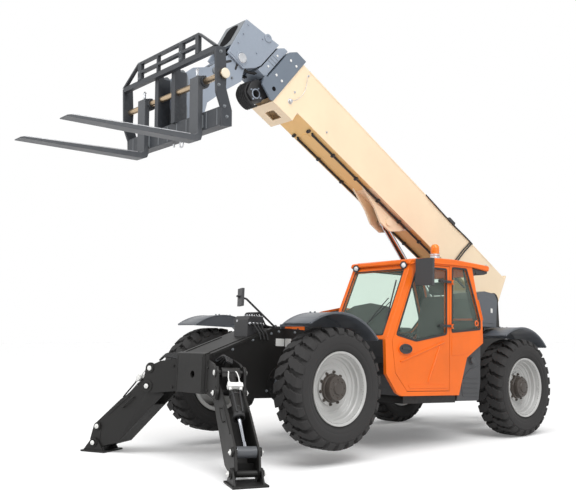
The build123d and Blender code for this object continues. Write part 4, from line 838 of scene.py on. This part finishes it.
def collar_details():
    """Bolts, dark discs as painted shade in the holes, dark wear strips and ribs on the collars of the second
    and third sections.
    """
    second_x, third_x = frame_high_x("boom_second"), frame_high_x("boom_third")
    second = Piece("second_section_bolts", "label", "second_section", bevel=1, slot="section_grey")
    for y, h in ((-4811, 397), (-4711, 397), (-4893, 87), (-4794, 82)):
        second.turned([(0, 16), (5, 16), (8, 12)], (second_x, y, h), OUTWARD, 20)
    # painted shade: a dark disc stands in for the shade inside the hole
    holes = Piece("second_section_hole_shades", "dark_opening", "second_section", bevel=0.5)
    holes.turned([(-2, 27), (3, 27), (3, 5)], (second_x, -4838, -82), OUTWARD, 28)
    third = Piece("third_section_bolts", "label", "third_section", bevel=1, slot="section_grey")
    for y, h in ((-5021, 120), (-4979, 330)):
        third.turned([(0, 14), (5, 14), (8, 10)], (third_x, y, h), OUTWARD, 20)
    ribs = Piece("third_section_ribs", "plate_grey", "third_section", bevel=1, slot="section_grey")
    for h in (180, 230, 280):
        front, back = -5090 + 0.2 * h, -4996 + 0.2 * h
        ribs.prism([(front, h), (back, h), (back, h + 6), (front, h + 6)], "x", third_x, third_x + 3)
    wear = Piece("third_section_strips", "dark_opening", "third_section", bevel=0.8)
    for y in (-4947, -4971, -5097):
        wear.prism([(y, 40), (y - 9, 40), (y + 64, 405), (y + 73, 405)], "x", third_x, third_x + 3)
    for form in (second, holes, third, ribs, wear):
        form.mirror()


def carrier_details():
    """The hoses in their carrier and the rings on its sides."""
    hoses = Piece("carrier_hoses", "rubber", "second_section", bevel=0)
    for k, x in enumerate(range(-84, 77, 32)):
        hoses.pipe([(x, -4860, -330), (x, -4905, -352 - 4 * (k % 2)), (x, -5000, -346), (x, -5075, -300),
                    (x, -5098, -220), (x, -5088, -150)], 12)
    eye = Piece("carrier_rings", "section_grey", "second_section", bevel=1)
    eye.turned([(0, 60), (5, 60), (8, 54), (8, 46), (0, 46)], (110, -4960, -235), OUTWARD, 32, loop=True)
    eye.side_bolts(110, [(-4960 + y, -235 + z) for y, z in circle(4, 78)], 16)
    eye.mirror()


def head_details():
    """Sheave boss, seam plates and bolts on the boom's nose, a darker front plate and a dark sheet in its
    opening as painted shade, hoses inside.
    """
    form = Piece("head_plates", "section_grey", "fourth_section", bevel=1.5)
    boss = [(0, 52), (8, 52), (12, 46), (12, 30), (6, 26), (6, 4)]
    form.turned(boss, (BOOM_SIDE, -5202, 396), OUTWARD)
    ring = [(0, 78), (5, 78), (8, 74), (8, 62), (0, 62)]
    form.turned(ring, (BOOM_SIDE, -5367, -81), OUTWARD, 40, loop=True)
    form.prism([(-5535, -140), (-5300, -150), (-5300, -128), (-5535, -118)], "x", BOOM_SIDE, 205, 6)
    form.side_bolts(BOOM_SIDE, [(-5500, 320), (-5500, 180), (-5500, 40), (-5260, 330), (-5240, 120)], 18)
    form.mirror()
    # painted shade: a darker grey plate over the nose's front face
    dark = Piece("head_front_shade_plate", "plate_grey", "fourth_section", bevel=3, slot="section_grey")
    dark.prism(panel(-180, 180, -34, 356, 16), "y", -5556, -5546)
    # painted shade: a dark sheet stands in for the shade inside the nose's opening
    opening = Piece("head_front_opening_shade", "dark_opening", "fourth_section", bevel=1, slot="black_plastic")
    opening.prism(panel(-104, 104, -4, 326, 102, 10), "y", -5559, -5550)
    hoses = Piece("head_hoses", "rubber", "fourth_section", bevel=0)
    for k, x in enumerate((-110, -76, 76, 110)):
        hoses.pipe([(x, -5080, -20), (x, -5200, -70 - 8 * k), (x, -5300, -60), (x, -5400, 30),
                    (x, -5470, 60)], 12)


def lift_cylinder_details():
    """Rings, a block and a pipe along the lift cylinder's barrel."""
    place = frame_matrix(joint_pos("lift_barrel_swing"), X_AXIS, joint_axis("lift_rod_slide"))
    form = Piece("lift_cylinder_fittings", "dark_grey_paint", "lift_barrel", place, bevel=1.5)
    for y in (520, 1150):
        form.turned([(0, 77), (3, 86), (22, 86), (25, 77)], (0, y, 0), (0, 1, 0), 40, loop=True)
    form.pipe([(40, 200, -72), (44, 240, -98), (44, 500, -98), (44, 1400, -98), (44, 1640, -98),
               (30, 1700, -80)], 11)
    form.prism(panel(-40, 40, 130, 230, 12), "z", -106, -74)


boom_hoses()
boom_plates()
boom_fittings()
collar_details()
carrier_details()
head_details()
lift_cylinder_details()


# ---------------------------------------------------------------- coupler, carriage and forks
FORK_X = (-430, 600)
SHAFT_Y, SHAFT_Z = -842, -578


def coupler_plates():
    """Hook plates with bolts, and dark sheets as painted shade in the slots of the coupler's sides."""
    plates = Piece("coupler_hook_plates", "plate_grey", "carriage", bevel=2.5, slot="section_grey")
    hook = [(-857, -342), (-768, -302), (-712, -350), (-697, -444), (-764, -556), (-713, -700), (-713, -860),
            (-770, -890), (-800, -860), (-800, -640), (-830, -520)]
    plates.prism(hook, "x", 139, 174, 24)
    plates.turned([(0, 40), (10, 40), (14, 34)], (169, -350, -220), OUTWARD, 28)
    plates.side_bolts(169, [(-120, -250), (-240, -330), (-560, -420), (-560, -700), (-600, -900)], 22)
    plates.mirror()
    # painted shade: thin dark sheets stand in for the shade inside the slots
    slot = Piece("coupler_slot_shades", "rubber", "carriage", bevel=0.5)
    slot.prism([(-250, -86), (-130, -40), (-120, -66), (-238, -112)], "x", 168, 171, 12)
    slot.prism([(-60, -150), (-30, -70), (-56, -62), (-84, -140)], "x", 168, 171, 12)
    slot.mirror()


def coupler_lock():
    """Locking cylinder behind the carriage, and the hoses over it."""
    lock = Piece("coupler_lock", "carriage_dark", "carriage", bevel=3)
    lock.prism([(-739, -960), (-640, -960), (-610, -640), (-690, -560), (-739, -560)], "x", -70, 70, 20)
    for profile, steps in (([(0, 36), (300, 36), (304, 30)], 28), ([(0, 20), (420, 20)], 20)):
        lock.turned(profile, (0, -560, -480), (0, -0.3, -1), steps)
    for x in (-40, 40):
        lock.bolt((x, -735, -700), (0, -1, 0), 26)
    hoses = Piece("coupler_hoses", "rubber", "carriage", bevel=0)
    for k, x in enumerate((-58, -30, 30, 58)):
        hoses.pipe([(x, -120, -20), (x * 1.2, -260, -90), (x * 1.3, -440, -190 - 10 * k),
                    (x * 1.2, -560, -330), (x, -610, -470), (x * 0.8, -640, -600)], 11)


def carriage_details():
    """Bolts, ribs and notches on the carriage, collars and caps on the fork shaft, and a shackle."""
    form = Piece("carriage_trim", "plate_grey", "carriage", slot="carriage_dark")
    for x, outward in ((1000, 1), (-830, -1)):
        for y, z in ((-880, -360), (-900, -700), (-800, -1000), (-830, -900)):
            form.bolt((x, y, z), (outward, 0, 0), 24)
    for x in range(-700, 960, 180):
        form.block(x - 5, x + 5, -862, -856, -1075, -912)
    for x in FORK_X:
        form.prism(panel(x - 90, x + 90, -1060, -925, 14), "y", -868, -858)
    for x in (-452, 375):
        for z in (-110, -214, -285):
            form.bolt((x, -940, z), (0, -1, 0), 20)
    collars = Piece("fork_shaft_collars", "carriage_dark", "carriage", bevel=1.5)
    for fork in FORK_X:
        for side in (1, -1):
            collars.turned([(0, 33), (0, 50), (22, 50), (25, 46), (25, 33)],
                           (fork + side * 77, SHAFT_Y, SHAFT_Z), (side, 0, 0), 32, loop=True)
            collars.bolt((fork + side * 90, SHAFT_Y, -529), UPWARD, 16)
    caps = Piece("fork_shaft_caps", "cap_cream", "carriage", bevel=1.5)
    profile = [(0, 51), (6, 51), (12, 44), (14, 30), (14, 4)]
    for x, outward in ((-862, -1), (1032, 1)):
        caps.turned(profile, (x, SHAFT_Y, SHAFT_Z), (outward, 0, 0), 36)
    shackle = Piece("carriage_shackle", "zinc", "carriage", bevel=1, slot="fork_steel")
    ring = [(205 + x, -800, -1128 + z) for x, z in circle(16, 34)]
    shackle.pipe(ring + ring[:1], 8, smooth=False)
    shackle.block(188, 222, -815, -785, -1100, -1080)
    shackle.rod((60, -800, -1100), (60, -800, -1135), 12)


def fork_details():
    """Wear strips on the blades' sides, and the forks' lock pins."""
    form = Piece("fork_pins", "zinc", "carriage", bevel=1, slot="fork_steel")
    strip = [(-1000, -1134), (-2250, -1170), (-2250, -1176), (-1000, -1142)]
    for x in FORK_X:
        for start, end in ((75, 77), (-75, -77)):
            form.prism(strip, "x", x + start, x + end)
        form.turned([(0, 14), (60, 14), (66, 10)], (x, -880, -505), UPWARD, 20)
        form.pipe([(x - 30, -880, -450), (x, -880, -430), (x + 30, -880, -450)], 6)


coupler_plates()
coupler_lock()
carriage_details()
fork_details()


# ---------------------------------------------------------------- cab
# outlines from the side: (y, z)
DOOR_WINDOW = [(893, 1222), (1236, 1162), (1800, 1262), (1795, 2050), (1290, 2030), (1222, 1985)]
QUARTER_WINDOW = [(1900, 1290), (1900, 2078), (2190, 2088), (2368, 1712), (2478, 1462), (2480, 1350)]
RIGHT_WINDOW = [(818, 1222), (2200, 1300), (2400, 1480), (2200, 2060), (1290, 2038), (1176, 2010)]
DOOR = [(1090, 600), (890, 800), (826, 1150), (1216, 2020), (1300, 2052), (1850, 2080), (1858, 600)]
CAB_LEFT, CAB_RIGHT = 1200, 300
REAR_WINDOW_X = (420, 1080)


def seals():
    """Black rubber round every pane, and in the gap round the door."""
    door = Piece("door_window_seal", "rubber", "cab_door")
    door.band(rounded(grow(DOOR_WINDOW, 6), 40), 24, "x", 1198, 1204)
    fixed = Piece("side_window_seals", "rubber")
    fixed.band(rounded(grow(QUARTER_WINDOW, 6), 34), 24, "x", 1198, 1204)
    fixed.band(rounded(grow(RIGHT_WINDOW, 6), 50), 24, "x", 302, 296)
    gap = Piece("door_opening_seal", "rubber", bevel=0)
    gap.band(rounded(grow(DOOR, 6.5), 20), 6, "x", 1176, 1192)
    screen = Piece("windscreen_seal", "rubber", place=SCREEN)
    screen.band(panel(358, 1142, 48, 906, 40), 13, "z", -3, 4)


def door_trim():
    """Pressed ridges, oval handle and hinges of the door."""
    ridges = Piece("door_ridges", "cab_orange", "cab_door", bevel=2.5)
    ridges.pipe([(1199, 970, 929), (1201, 1000, 938), (1201, 1730, 1165), (1199, 1759, 1174)], 13,
                smooth=False)
    ridges.pipe([(1199, 1667, 1113), (1201, 1650, 1079), (1201, 1475, 732), (1199, 1460, 702)], 13,
                smooth=False)
    ridges.prism([(1130, 630), (1820, 630), (1820, 668), (1100, 668)], "x", 1198, 1205, 12)
    oval = [Vector((1041 + 108 * y, 1070 + 56 * z)) for y, z in circle(40, 1)]
    handle = Piece("door_handle", "black_plastic", "cab_door", bevel=3)
    handle.band(oval, 14, "x", 1197, 1222)
    handle.prism(grow(oval, -12), "x", 1197, 1216)
    handle.prism(panel(975, 1107, 1062, 1088, 12), "x", 1212, 1226)
    handle.turned([(0, 12), (6, 12), (8, 9), (8, 3)], (1213, 1100, 1042), OUTWARD, 20)
    hinges = Piece("door_hinge_covers", "black_plastic", "cab_door", bevel=2.5)
    for z in (1363, 1893):
        hinges.prism(panel(1632, 1850, z - 15, z + 15, 8), "x", 1199, 1234)
        hinges.side_bolts(1234, [(1665, z), (1740, z)], 15)
    latch = Piece("quarter_window_latch", "orange_plastic", bevel=1.5)
    latch.turned([(0, 22), (0, 36), (10, 36), (14, 31), (14, 25)], (1203, 2390, 1424), OUTWARD, 32, loop=True)


def mirrors():
    """Glass in the two mirrors' housings, and the joints of their arms."""
    place = MACHINE @ Matrix.Translation((1.352, 1.195, 1.95)) @ Matrix.Rotation(radians(12), 4, "Z")
    glass = Piece("door_mirror_glass", "mirror_glass", "cab_door", place, bevel=1.5)
    glass.prism(panel(-92, 92, -140, 140, 30), "y", 22, 29)
    joint = Piece("door_mirror_joints", "black_plastic", "cab_door")
    joint.turned([(0, 18), (34, 18), (38, 13)], (1352, 1200, 2048), UPWARD, 20)
    joint.turned([(0, 24), (10, 24), (14, 18)], (1199, 1250, 2021), OUTWARD, 20)
    place = MACHINE @ Matrix.Translation((0.44, -0.732, 1.551)) @ Matrix.Rotation(radians(-24), 4, "Z")
    glass = Piece("front_mirror_glass", "mirror_glass", place=place, bevel=1)
    glass.prism(panel(-84, 84, -82, 82, 22), "y", 12, 17)
    joint = Piece("front_mirror_joints", "black_plastic")
    joint.turned([(0, 20), (40, 20)], (437, -712, 1548), (0.17, -0.97, 0.12), 20)
    joint.turned([(0, 22), (20, 22), (26, 14)], (270, -92, 1262), (0.2, -0.6, 0.5), 20)


def cab_outside():
    """Dark trim under the roof's rear, gutter and raised edges on the left side, and a grab bar."""
    dark = Piece("cab_rear_trim", "black_plastic", bevel=4)
    dark.prism([(2296, 2110), (2330, 2000), (2352, 2006), (2420, 2100), (2600, 2096), (2600, 2112)], "x",
               CAB_RIGHT + 10, CAB_LEFT - 10, 16)
    dark.prism([(2400, 2040), (2560, 2046), (2640, 2070), (2640, 2100), (2380, 2096)], "x", CAB_RIGHT + 6,
               CAB_LEFT - 6, 14)
    for x in range(CAB_RIGHT + 40, CAB_LEFT - 100, 140):
        dark.block(x, x + 110, 2630, 2646, 2076, 2092)
    orange = Piece("cab_side_pressings", "cab_orange", bevel=2.5)
    orange.pipe([(1216, 1105, 2045), (1216, 1300, 2082), (1216, 1822, 2110), (1216, 2302, 2128)], 9)
    orange.pipe([(1201, 735, 1190), (1201, 1090, 1985)], 8, smooth=False)
    orange.pipe([(1201, 2434, 1716), (1201, 2530, 1470)], 8, smooth=False)
    orange.prism([(1900, 1010), (2200, 1040), (2470, 1200), (2470, 1240), (1900, 1240)], "x", 1198, 1204, 26)
    grab = Piece("cab_grab_bar", "orange_plastic", bevel=0)
    grab.pipe([(1130, 1920, 1280), (1110, 1900, 1330), (1110, 1890, 1600), (1110, 1900, 1860),
               (1130, 1920, 1900)], 14)


def cab_liner():
    """Black inner faces of the right side, and of the rear wall beside and below its window."""
    liner = Piece("cab_liner", "black_plastic")
    inside_right, inside_left = CAB_RIGHT + 41, CAB_LEFT - 41
    liner.band(grow(RIGHT_WINDOW, 60), 58, "x", CAB_RIGHT + 39, CAB_RIGHT + 44)
    liner.prism([(900, 760), (2350, 760), (2350, 1150), (860, 1150)], "x", CAB_RIGHT + 39, CAB_RIGHT + 46, 30)
    for x0, x1 in ((inside_right, REAR_WINDOW_X[0] - 4), (REAR_WINDOW_X[1] + 4, inside_left)):
        liner.prism([(2264, 2100), (2387, 1703), (2486, 1460), (2481, 1458), (2382, 1700), (2259, 2100)], "x",
                    x0, x1)
    liner.prism([(2486, 1466), (2500, 1212), (2495, 1212), (2481, 1464)], "x", inside_right, inside_left)


def wipers():
    form = Piece("windscreen_wiper", "black_plastic", place=SCREEN, bevel=1.5)
    form.turned([(-4, 24), (16, 24), (22, 16)], (850, 165, 0), UPWARD, 24)
    form.pipe([(850, 165, 16), (900, 250, 20), (1040, 480, 18), (1060, 516, 14)], 6)
    form.pipe([(850, 165, 22), (930, 250, 26), (1060, 400, 22), (1100, 460, 14)], 5)
    form.prism([(1128, 250), (1136, 250), (1090, 745), (1082, 745)], "z", 4, 14)
    form.prism([(1124, 245), (1140, 245), (1094, 750), (1078, 750)], "z", 12, 16)


def work_lights():
    housings = Piece("work_light_housings", "black_plastic")
    lenses = Piece("work_light_lenses", "clear_lens", bevel=0)
    brackets = Piece("work_light_brackets", "cab_orange", bevel=4)
    plate = [(1070, 2072), (1075, 2086), (1180, 2104), (1210, 2070), (1120, 2046)]
    forward = (0.25, -1, -0.1)
    for x, z in ((378, 2034), (1134, 2030)):
        housings.turned([(-40, 16), (-32, 28), (-8, 40), (16, 43), (20, 43), (20, 31), (14, 30), (14, 10)],
                        (x, 1085, z), forward)
        lenses.turned([(13, 30), (17, 28), (22, 20), (24, 5)], (x, 1085, z), forward)
        brackets.prism(plate, "x", x - 34, x + 34, 8)


def roof_fittings():
    """Ribs along the roof, and the beacon on its base."""
    ribs = Piece("roof_ribs", "cab_orange", bevel=3)
    stations = ((1400, 2140, 2150), (1571, 2156, 2168), (1929, 2174, 2186), (2450, 2166, 2179))
    for x in range(420, 1140, 130):
        ribs.skin([[(x - 16, y, foot), (x + 16, y, foot), (x + 10, y, top), (x - 10, y, top)]
                   for y, foot, top in stations])
    beacon = (950, 1885, 2175)
    base = Piece("beacon_base", "zinc", slot="black_plastic")
    base.turned([(0, 66), (8, 66), (14, 58), (60, 56), (66, 60), (80, 60), (84, 54), (84, 40)], beacon,
                UPWARD, 40)
    lamp = Piece("beacon_lens", "beacon_amber", bevel=0, angle=50, replaces=["beacon"])
    lamp.turned([(80, 40), (84, 53), (98, 55), (102, 51), (116, 55), (120, 51), (134, 55), (138, 51),
                 (152, 54), (182, 49), (200, 36), (208, 14), (209, 3)], beacon, UPWARD)


# ---------------------------------------------------------------- seat and controls
# a pad's cross section from its foot to its crown: (size in plan, height), as shares of its half sizes
PAD_LEVELS = [(0.04, -1.0), (0.5, -1.0), (0.86, -0.97), (0.965, -0.8), (1.0, -0.4), (0.985, 0.0), (1.0, 0.38),
              (0.975, 0.72), (0.92, 0.9), (0.84, 0.98), (0.74, 1.02), (0.62, 1.06), (0.5, 1.09), (0.38, 1.11),
              (0.26, 1.13), (0.14, 1.14), (0.04, 1.14)]
CHANNEL_DEPTH, CHANNEL_WIDTH = 0.16, 0.09


def pad_plan():
    """A rounded square of half size 1, with points close together."""
    plan = panel(-1, 1, -1, 1, 0.5, 10)
    plan = [Vector(p) for i, p in enumerate(plan) if (Vector(p) - Vector(plan[i - 1])).length > 1e-4]
    dense = []
    for i, b in enumerate(plan):
        a = plan[i - 1]
        pieces = max(1, round((b - a).length / 0.12))
        dense += [a.lerp(b, k / pieces) for k in range(pieces)]
    return dense


def cushion(name, place, half_x, half_y, half_z, channels, replaces):
    """A crowned pad with sewn channels across it and piping round its edge; z is its thick direction."""
    def sewn(p, size, height):
        sunk = 0
        if height > 0.5:
            for line in channels:
                near = max(0.0, 1 - abs(p.y * size - line) / CHANNEL_WIDTH)
                sunk += half_z * CHANNEL_DEPTH * near * min(1, (1.06 - size) * 6)
        return (p.x * size * half_x, p.y * size * half_y, height * half_z - sunk)

    plan = pad_plan()
    form = Piece(name, "seat_fabric", place=place, bevel=0, angle=80, replaces=replaces)
    form.skin([[sewn(p, size, height) for p in plan] for size, height in PAD_LEVELS])
    form.padded = True
    edge = [(p.x * half_x * 0.985, p.y * half_y * 0.985, half_z * 0.7) for p in plan + plan[:1]]
    piping = Piece(f"{name}_piping", "black_plastic", place=place, bevel=0)
    piping.pipe(edge, 4.5, 8, smooth=False)


def seat():
    cushion("seat_cushion_pad", MACHINE @ Matrix.Translation((0.76, 1.75, 1.018)), 236, 246, 54, (-0.35, 0.3),
            ["seat_cushion"])
    lean = Vector((0, 140, 690)).normalized()
    back = MACHINE @ frame_matrix(Vector((0.76, 2.108, 1.435)), -X_AXIS, lean)
    cushion("seat_back_pad", back, 224, 330, 52, (-0.5, 0.0, 0.5), ["seat_back"])
    rest = MACHINE @ frame_matrix(Vector((0.76, 2.19, 1.86)), -X_AXIS, lean)
    cushion("head_rest_pad", rest, 130, 80, 36, (), [])
    bits = Piece("seat_frame_and_armrests", "black_plastic", bevel=4)
    for x in (700, 820):
        bits.rod((x, 2168, 1740), (x, 2192, 1830), 8)
    for x in (505, 1015):
        bits.prism([(1660, 1150), (1980, 1150), (1980, 1200), (1660, 1210)], "x", x - 26, x + 26, 20)
        bits.rod((x, 1960, 1170), (x, 2030, 1300), 16)
    for x in (586, 934):
        bits.block(x - 14, x + 14, 1540, 1980, 940, 962)


def controls():
    """Joystick on the side console, levers by the column, pedals, a screen and switches."""
    form = Piece("cab_controls", "black_plastic")
    form.turned([(0, 34), (10, 34), (16, 20), (60, 12), (110, 12), (116, 22), (180, 24), (200, 14)],
                (420, 1560, 1178), (0.1, -0.15, 1), 24)
    for side in (1, -1):
        form.rod((760 + side * 30, 1130, 1262), (760 + side * 170, 1150, 1290), 6)
        form.turned([(0, 9), (40, 10), (44, 5)], (760 + side * 160, 1149, 1288), (side, 0.15, 0.2), 16)
    for x in (650, 860):
        form.prism(panel(x - 32, x + 32, 620, 740, 10), "y", 1046, 1058)
        form.rod((x, 1040, 720), (x, 1010, 860), 9)
    form.prism(panel(560, 960, 1240, 1330, 30), "y", 1004, 1018)
    switches = Piece("console_switches", "plate_grey", bevel=1, slot="black_plastic")
    for x in (364, 384, 404):
        for y in (1300, 1340):
            switches.prism(panel(x, x + 16, y, y + 28, 3), "z", 1179, 1186)


seals()
door_trim()
mirrors()
cab_outside()
cab_liner()
wipers()
work_lights()
roof_fittings()
seat()
controls()


# ---------------------------------------------------------------- engine side, tanks, fenders, drivetrain
def hood_trim():
    """Louvres, handles, pressings and black inner trim of the hood."""
    trim = Piece("hood_inner_trim", "black_plastic", "engine_hood", bevel=1.5)
    trim.prism([(915, 1246), (915, 1385), (1200, 1502), (1562, 1578), (2345, 1572), (2566, 1350),
                (2566, 1246)], "x", -352, -345)
    louvres = Piece("hood_louvres", "black_plastic", "engine_hood")
    for y in range(1500, 2200, 85):
        louvres.prism(panel(y, y + 46, 1285, 1368, 10), "x", -1184, -1178)
    for x in range(-1060, -500, 110):
        # the top falls a quarter of the way it runs outward
        drop = 0.25 * (-350 - x)
        louvres.skin([[(x, y, z - drop), (x + 60, y, z + 15 - drop), (x + 60, y + 8, z + 23 - drop),
                       (x, y + 8, z + 8 - drop)] for y, z in ((2352, 1592), (2560, 1384))])
    handles = Piece("hood_handles", "black_plastic", "engine_hood", bevel=0)
    for y in (1300, 2250):
        handles.pipe([(-1180, y - 70, 1290), (-1206, y - 60, 1290), (-1206, y + 60, 1290),
                      (-1180, y + 70, 1290)], 9)
    seams = Piece("hood_pressings", "cab_orange", "engine_hood")
    seams.band(rounded([(1300, 1262), (2340, 1262), (2340, 1380), (1560, 1380), (1300, 1322)], 20), 8, "x",
               -1180, -1184)


def engine_pod():
    """The pod's grilles, the exhaust, and the covers and pipes on the engine."""
    dark = Piece("pod_grilles", "black_plastic")
    for z in range(620, 1050, 70):
        dark.prism(panel(1000, 1700, z, z + 34), "x", -1186, -1179)
    dark.prism(panel(1820, 2420, 600, 1120, 40), "x", -1185, -1179)
    for x in range(-1120, -500, 150):
        for y in (2578, 894):
            dark.block(x, x + 100, y, y + 8, 640, 1060)
    exhaust = Piece("exhaust_pipe", "engine_iron", bevel=0)
    exhaust.pipe([(-1050, 2600, 1020), (-1050, 2650, 1060), (-1050, 2660, 1140), (-1050, 2660, 1440),
                  (-1050, 2680, 1560), (-1050, 2740, 1600)], 38, 24)
    exhaust.pipe([(-1050, 2560, 1010), (-1050, 2620, 1030)], 46, 24, smooth=False)
    engine = Piece("engine_covers_and_pipes", "engine_iron", bevel=3)
    for y in (1250, 1450, 1650, 1850):
        engine.prism(panel(-860, -600, y - 70, y + 70, 24), "z", 1128, 1180)
    engine.pipe([(-560, 1200, 1150), (-540, 1300, 1190), (-540, 1800, 1190), (-560, 1950, 1150)], 30)
    engine.turned([(0, 70), (300, 70), (310, 60)], (-820, 2000, 1170), (0, 1, 0))


def tank_trim():
    fuel = Piece("fuel_tank_trim", "tank_plastic", bevel=3)
    fuel.turned([(0, 46), (8, 46), (12, 42), (34, 42), (40, 34)], (1150, 2360, 960), (1, 0, 0.1))
    fuel.prism([(2180, 520), (2500, 520), (2530, 700), (2530, 900), (2330, 860), (2160, 720)], "x", 1148,
               1156, 40)
    for z in range(560, 780, 60):
        fuel.block(1150, 1162, 2200, 2480, z, z + 12)
    oil = Piece("hydraulic_tank_trim", "dark_grey_paint", bevel=3)
    oil.prism([(2780, 1460), (3190, 1460), (3200, 1770), (2960, 1820), (2800, 1790)], "x", 928, 936, 50)
    oil.turned([(0, 40), (22, 40), (28, 34)], (720, 2900, 1874), UPWARD, 28)
    oil.pipe([(700, 3190, 1500), (660, 3300, 1480), (600, 3400, 1380), (420, 3450, 1280), (296, 3460, 1240)],
             20, 16)
    bracket = Piece("tank_reflector_and_bracket", "label", bevel=1.5)
    bracket.prism(panel(2600, 2790, 1420, 1460, 8), "x", 900, 940)
    bracket.prism(panel(3090, 3130, 1600, 1660, 8), "x", 934, 942)


def fender_point(axle_y, angle, radius):
    """A (y, z) place over a wheel, the angle in degrees up from the front."""
    turn = radians(angle)
    return (axle_y - radius * cos(turn), AXLE_Z + radius * sin(turn))


def fender_trim():
    """Rolled lips along the fenders' edges, a bar at each end, and bolts on the crown."""
    lips = Piece("fender_lips", "dark_grey_paint", bevel=0)
    bolts = Piece("fender_bolts", "plate_grey", bevel=1)
    for axle_y, first, last in ((0, 57, 138), (WHEELBASE, 58, 136)):
        angles = [first + (last - first) * k / 14 for k in range(15)]
        for x in (804, 1206):
            lips.pipe([(x, *fender_point(axle_y, angle, 784)) for angle in angles], 9, 8)
        for angle in (first, last):
            bar = fender_point(axle_y, angle, 781)
            lips.pipe([(806, *bar), (1204, *bar)], 10, 8, smooth=False)
        for x in (830, 900):
            for angle in (84, 96):
                y, z = fender_point(0, angle, 1)
                bolts.bolt((x, *fender_point(axle_y, angle, 790)), (0, y, z - AXLE_Z), 20)
    lips.mirror()
    bolts.mirror()


def drivetrain():
    """Drive shafts, gearbox, axle housings with their hubs, and the steering rods."""
    form = Piece("drivetrain", "dark_grey_paint")
    for y in (0, WHEELBASE):
        form.turned([(0, 112), (24, 112), (30, 100)], (300, y, AXLE_Z), OUTWARD, 36)
        form.side_bolts(328, [(y + a, AXLE_Z + b) for a, b in circle(8, 92)], 16)
    form.mirror()
    for y, z, length, slope in ((150, 600, 1260, -0.02), (2090, 590, 1180, 0.02)):
        ends = [(length, 38), (length + 4, 55), (length + 24, 55)]
        form.turned([(0, 55), (20, 55), (24, 38)] + ends, (0, y, z), (0, 1, slope), 28)
    gearbox = [(1440, 505), (2080, 505), (2080, 720), (1900, 800), (1600, 800), (1440, 700)]
    form.prism(gearbox, "x", -180, 180, 40)
    housing = [(-125, 60), (-120, 110), (-20, 150), (20, 150), (120, 110), (125, 60)]
    for y in (0, WHEELBASE):
        form.turned(housing, (0, y, AXLE_Z), (0, 1, 0), 36)
    rods = Piece("steering_rods", "rod_chrome", bevel=1)
    for y in (170, WHEELBASE - 170):
        rods.rod((238, y, AXLE_Z), (600, y, AXLE_Z), 20)
    rods.mirror()


hood_trim()
engine_pod()
tank_trim()
fender_trim()
drivetrain()
for piece in Piece.drawn:
    piece.finish()


# ---------------------------------------------------------------- stage, lights and camera
FLOOR_SIZE, FLOOR_GLOW = 160, 0.16
ROOM_LIGHT = 0.42
# the lens and the camera's place and aim were solved from the four wheels
LENS, SENSOR = 48.275, 36
CAMERA_FROM_REAR_AXLE = Vector((6.948, -9.1463, 0.7386))
CAMERA_UP_DEG, CAMERA_TURN_DEG = 5.89, 48.88


def seen_white(tree, socket, plain, seen):
    """Value that is `seen` for camera, glossy and transmission rays and `plain` for the rest."""
    path = add_node(tree, "LightPath", {})
    most = path.outputs["Is Camera Ray"]
    for other in ("Is Glossy Ray", "Is Transmission Ray"):
        most = math_node(tree, "MAXIMUM", most, path.outputs[other])
    feed(tree, socket, ramp(tree, most, 0, 1, plain, seen))


def floor():
    bpy.ops.mesh.primitive_plane_add(size=FLOOR_SIZE, location=(0, 0, 0))
    obj = bpy.context.object
    obj.name = "floor"
    material, tree, bsdf = new_material("floor")
    bsdf.inputs["Base Color"].default_value = (0.9, 0.9, 0.9, 1)
    bsdf.inputs["Roughness"].default_value = 1
    bsdf.inputs["Specular IOR Level"].default_value = 0
    seen_white(tree, bsdf.inputs["Emission Strength"], 0.0, FLOOR_GLOW)
    bsdf.inputs["Emission Color"].default_value = (1, 1, 1, 1)
    obj.data.materials.append(material)


def world():
    studio = bpy.data.worlds.new("studio")
    bpy.context.scene.world = studio
    studio.use_nodes = True
    back = studio.node_tree.nodes["Background"]
    back.inputs["Color"].default_value = (1, 1, 1, 1)
    seen_white(studio.node_tree, back.inputs["Strength"], ROOM_LIGHT, 1.0)


def place_object(name, data, at, rotation):
    obj = bpy.data.objects.new(name, data)
    bpy.context.scene.collection.objects.link(obj)
    obj.location = at
    obj.rotation_euler = rotation
    return obj


def lamp(name, at, target, size, power):
    data = bpy.data.lights.new(name, "AREA")
    data.shape = "DISK"
    data.size = size
    data.energy = power
    place_object(name, data, at, (Vector(target) - Vector(at)).to_track_quat("-Z", "Y").to_euler())


def sun(name, towards, strength, spread_deg):
    data = bpy.data.lights.new(name, "SUN")
    data.energy = strength
    data.angle = radians(spread_deg)
    place_object(name, data, (0, 0, 0), (-Vector(towards)).to_track_quat("-Z", "Y").to_euler())


def camera():
    data = bpy.data.cameras.new("camera")
    data.sensor_width = SENSOR
    data.lens = LENS
    turn = (radians(90 + CAMERA_UP_DEG), 0, radians(CAMERA_TURN_DEG))
    bpy.context.scene.camera = place_object("camera", data, REAR_AXLE + CAMERA_FROM_REAR_AXLE, turn)


floor()
world()
sun("sun", towards=(0.35, -0.25, 1), strength=1.75, spread_deg=45)
lamp("key", at=(9, -3, 8), target=(0, 0, 1), size=5, power=430)
lamp("fill", at=(-2, -10, 7), target=(0, -1, 1), size=6, power=270)
camera()
bpy.context.scene.view_settings.view_transform = "Standard"
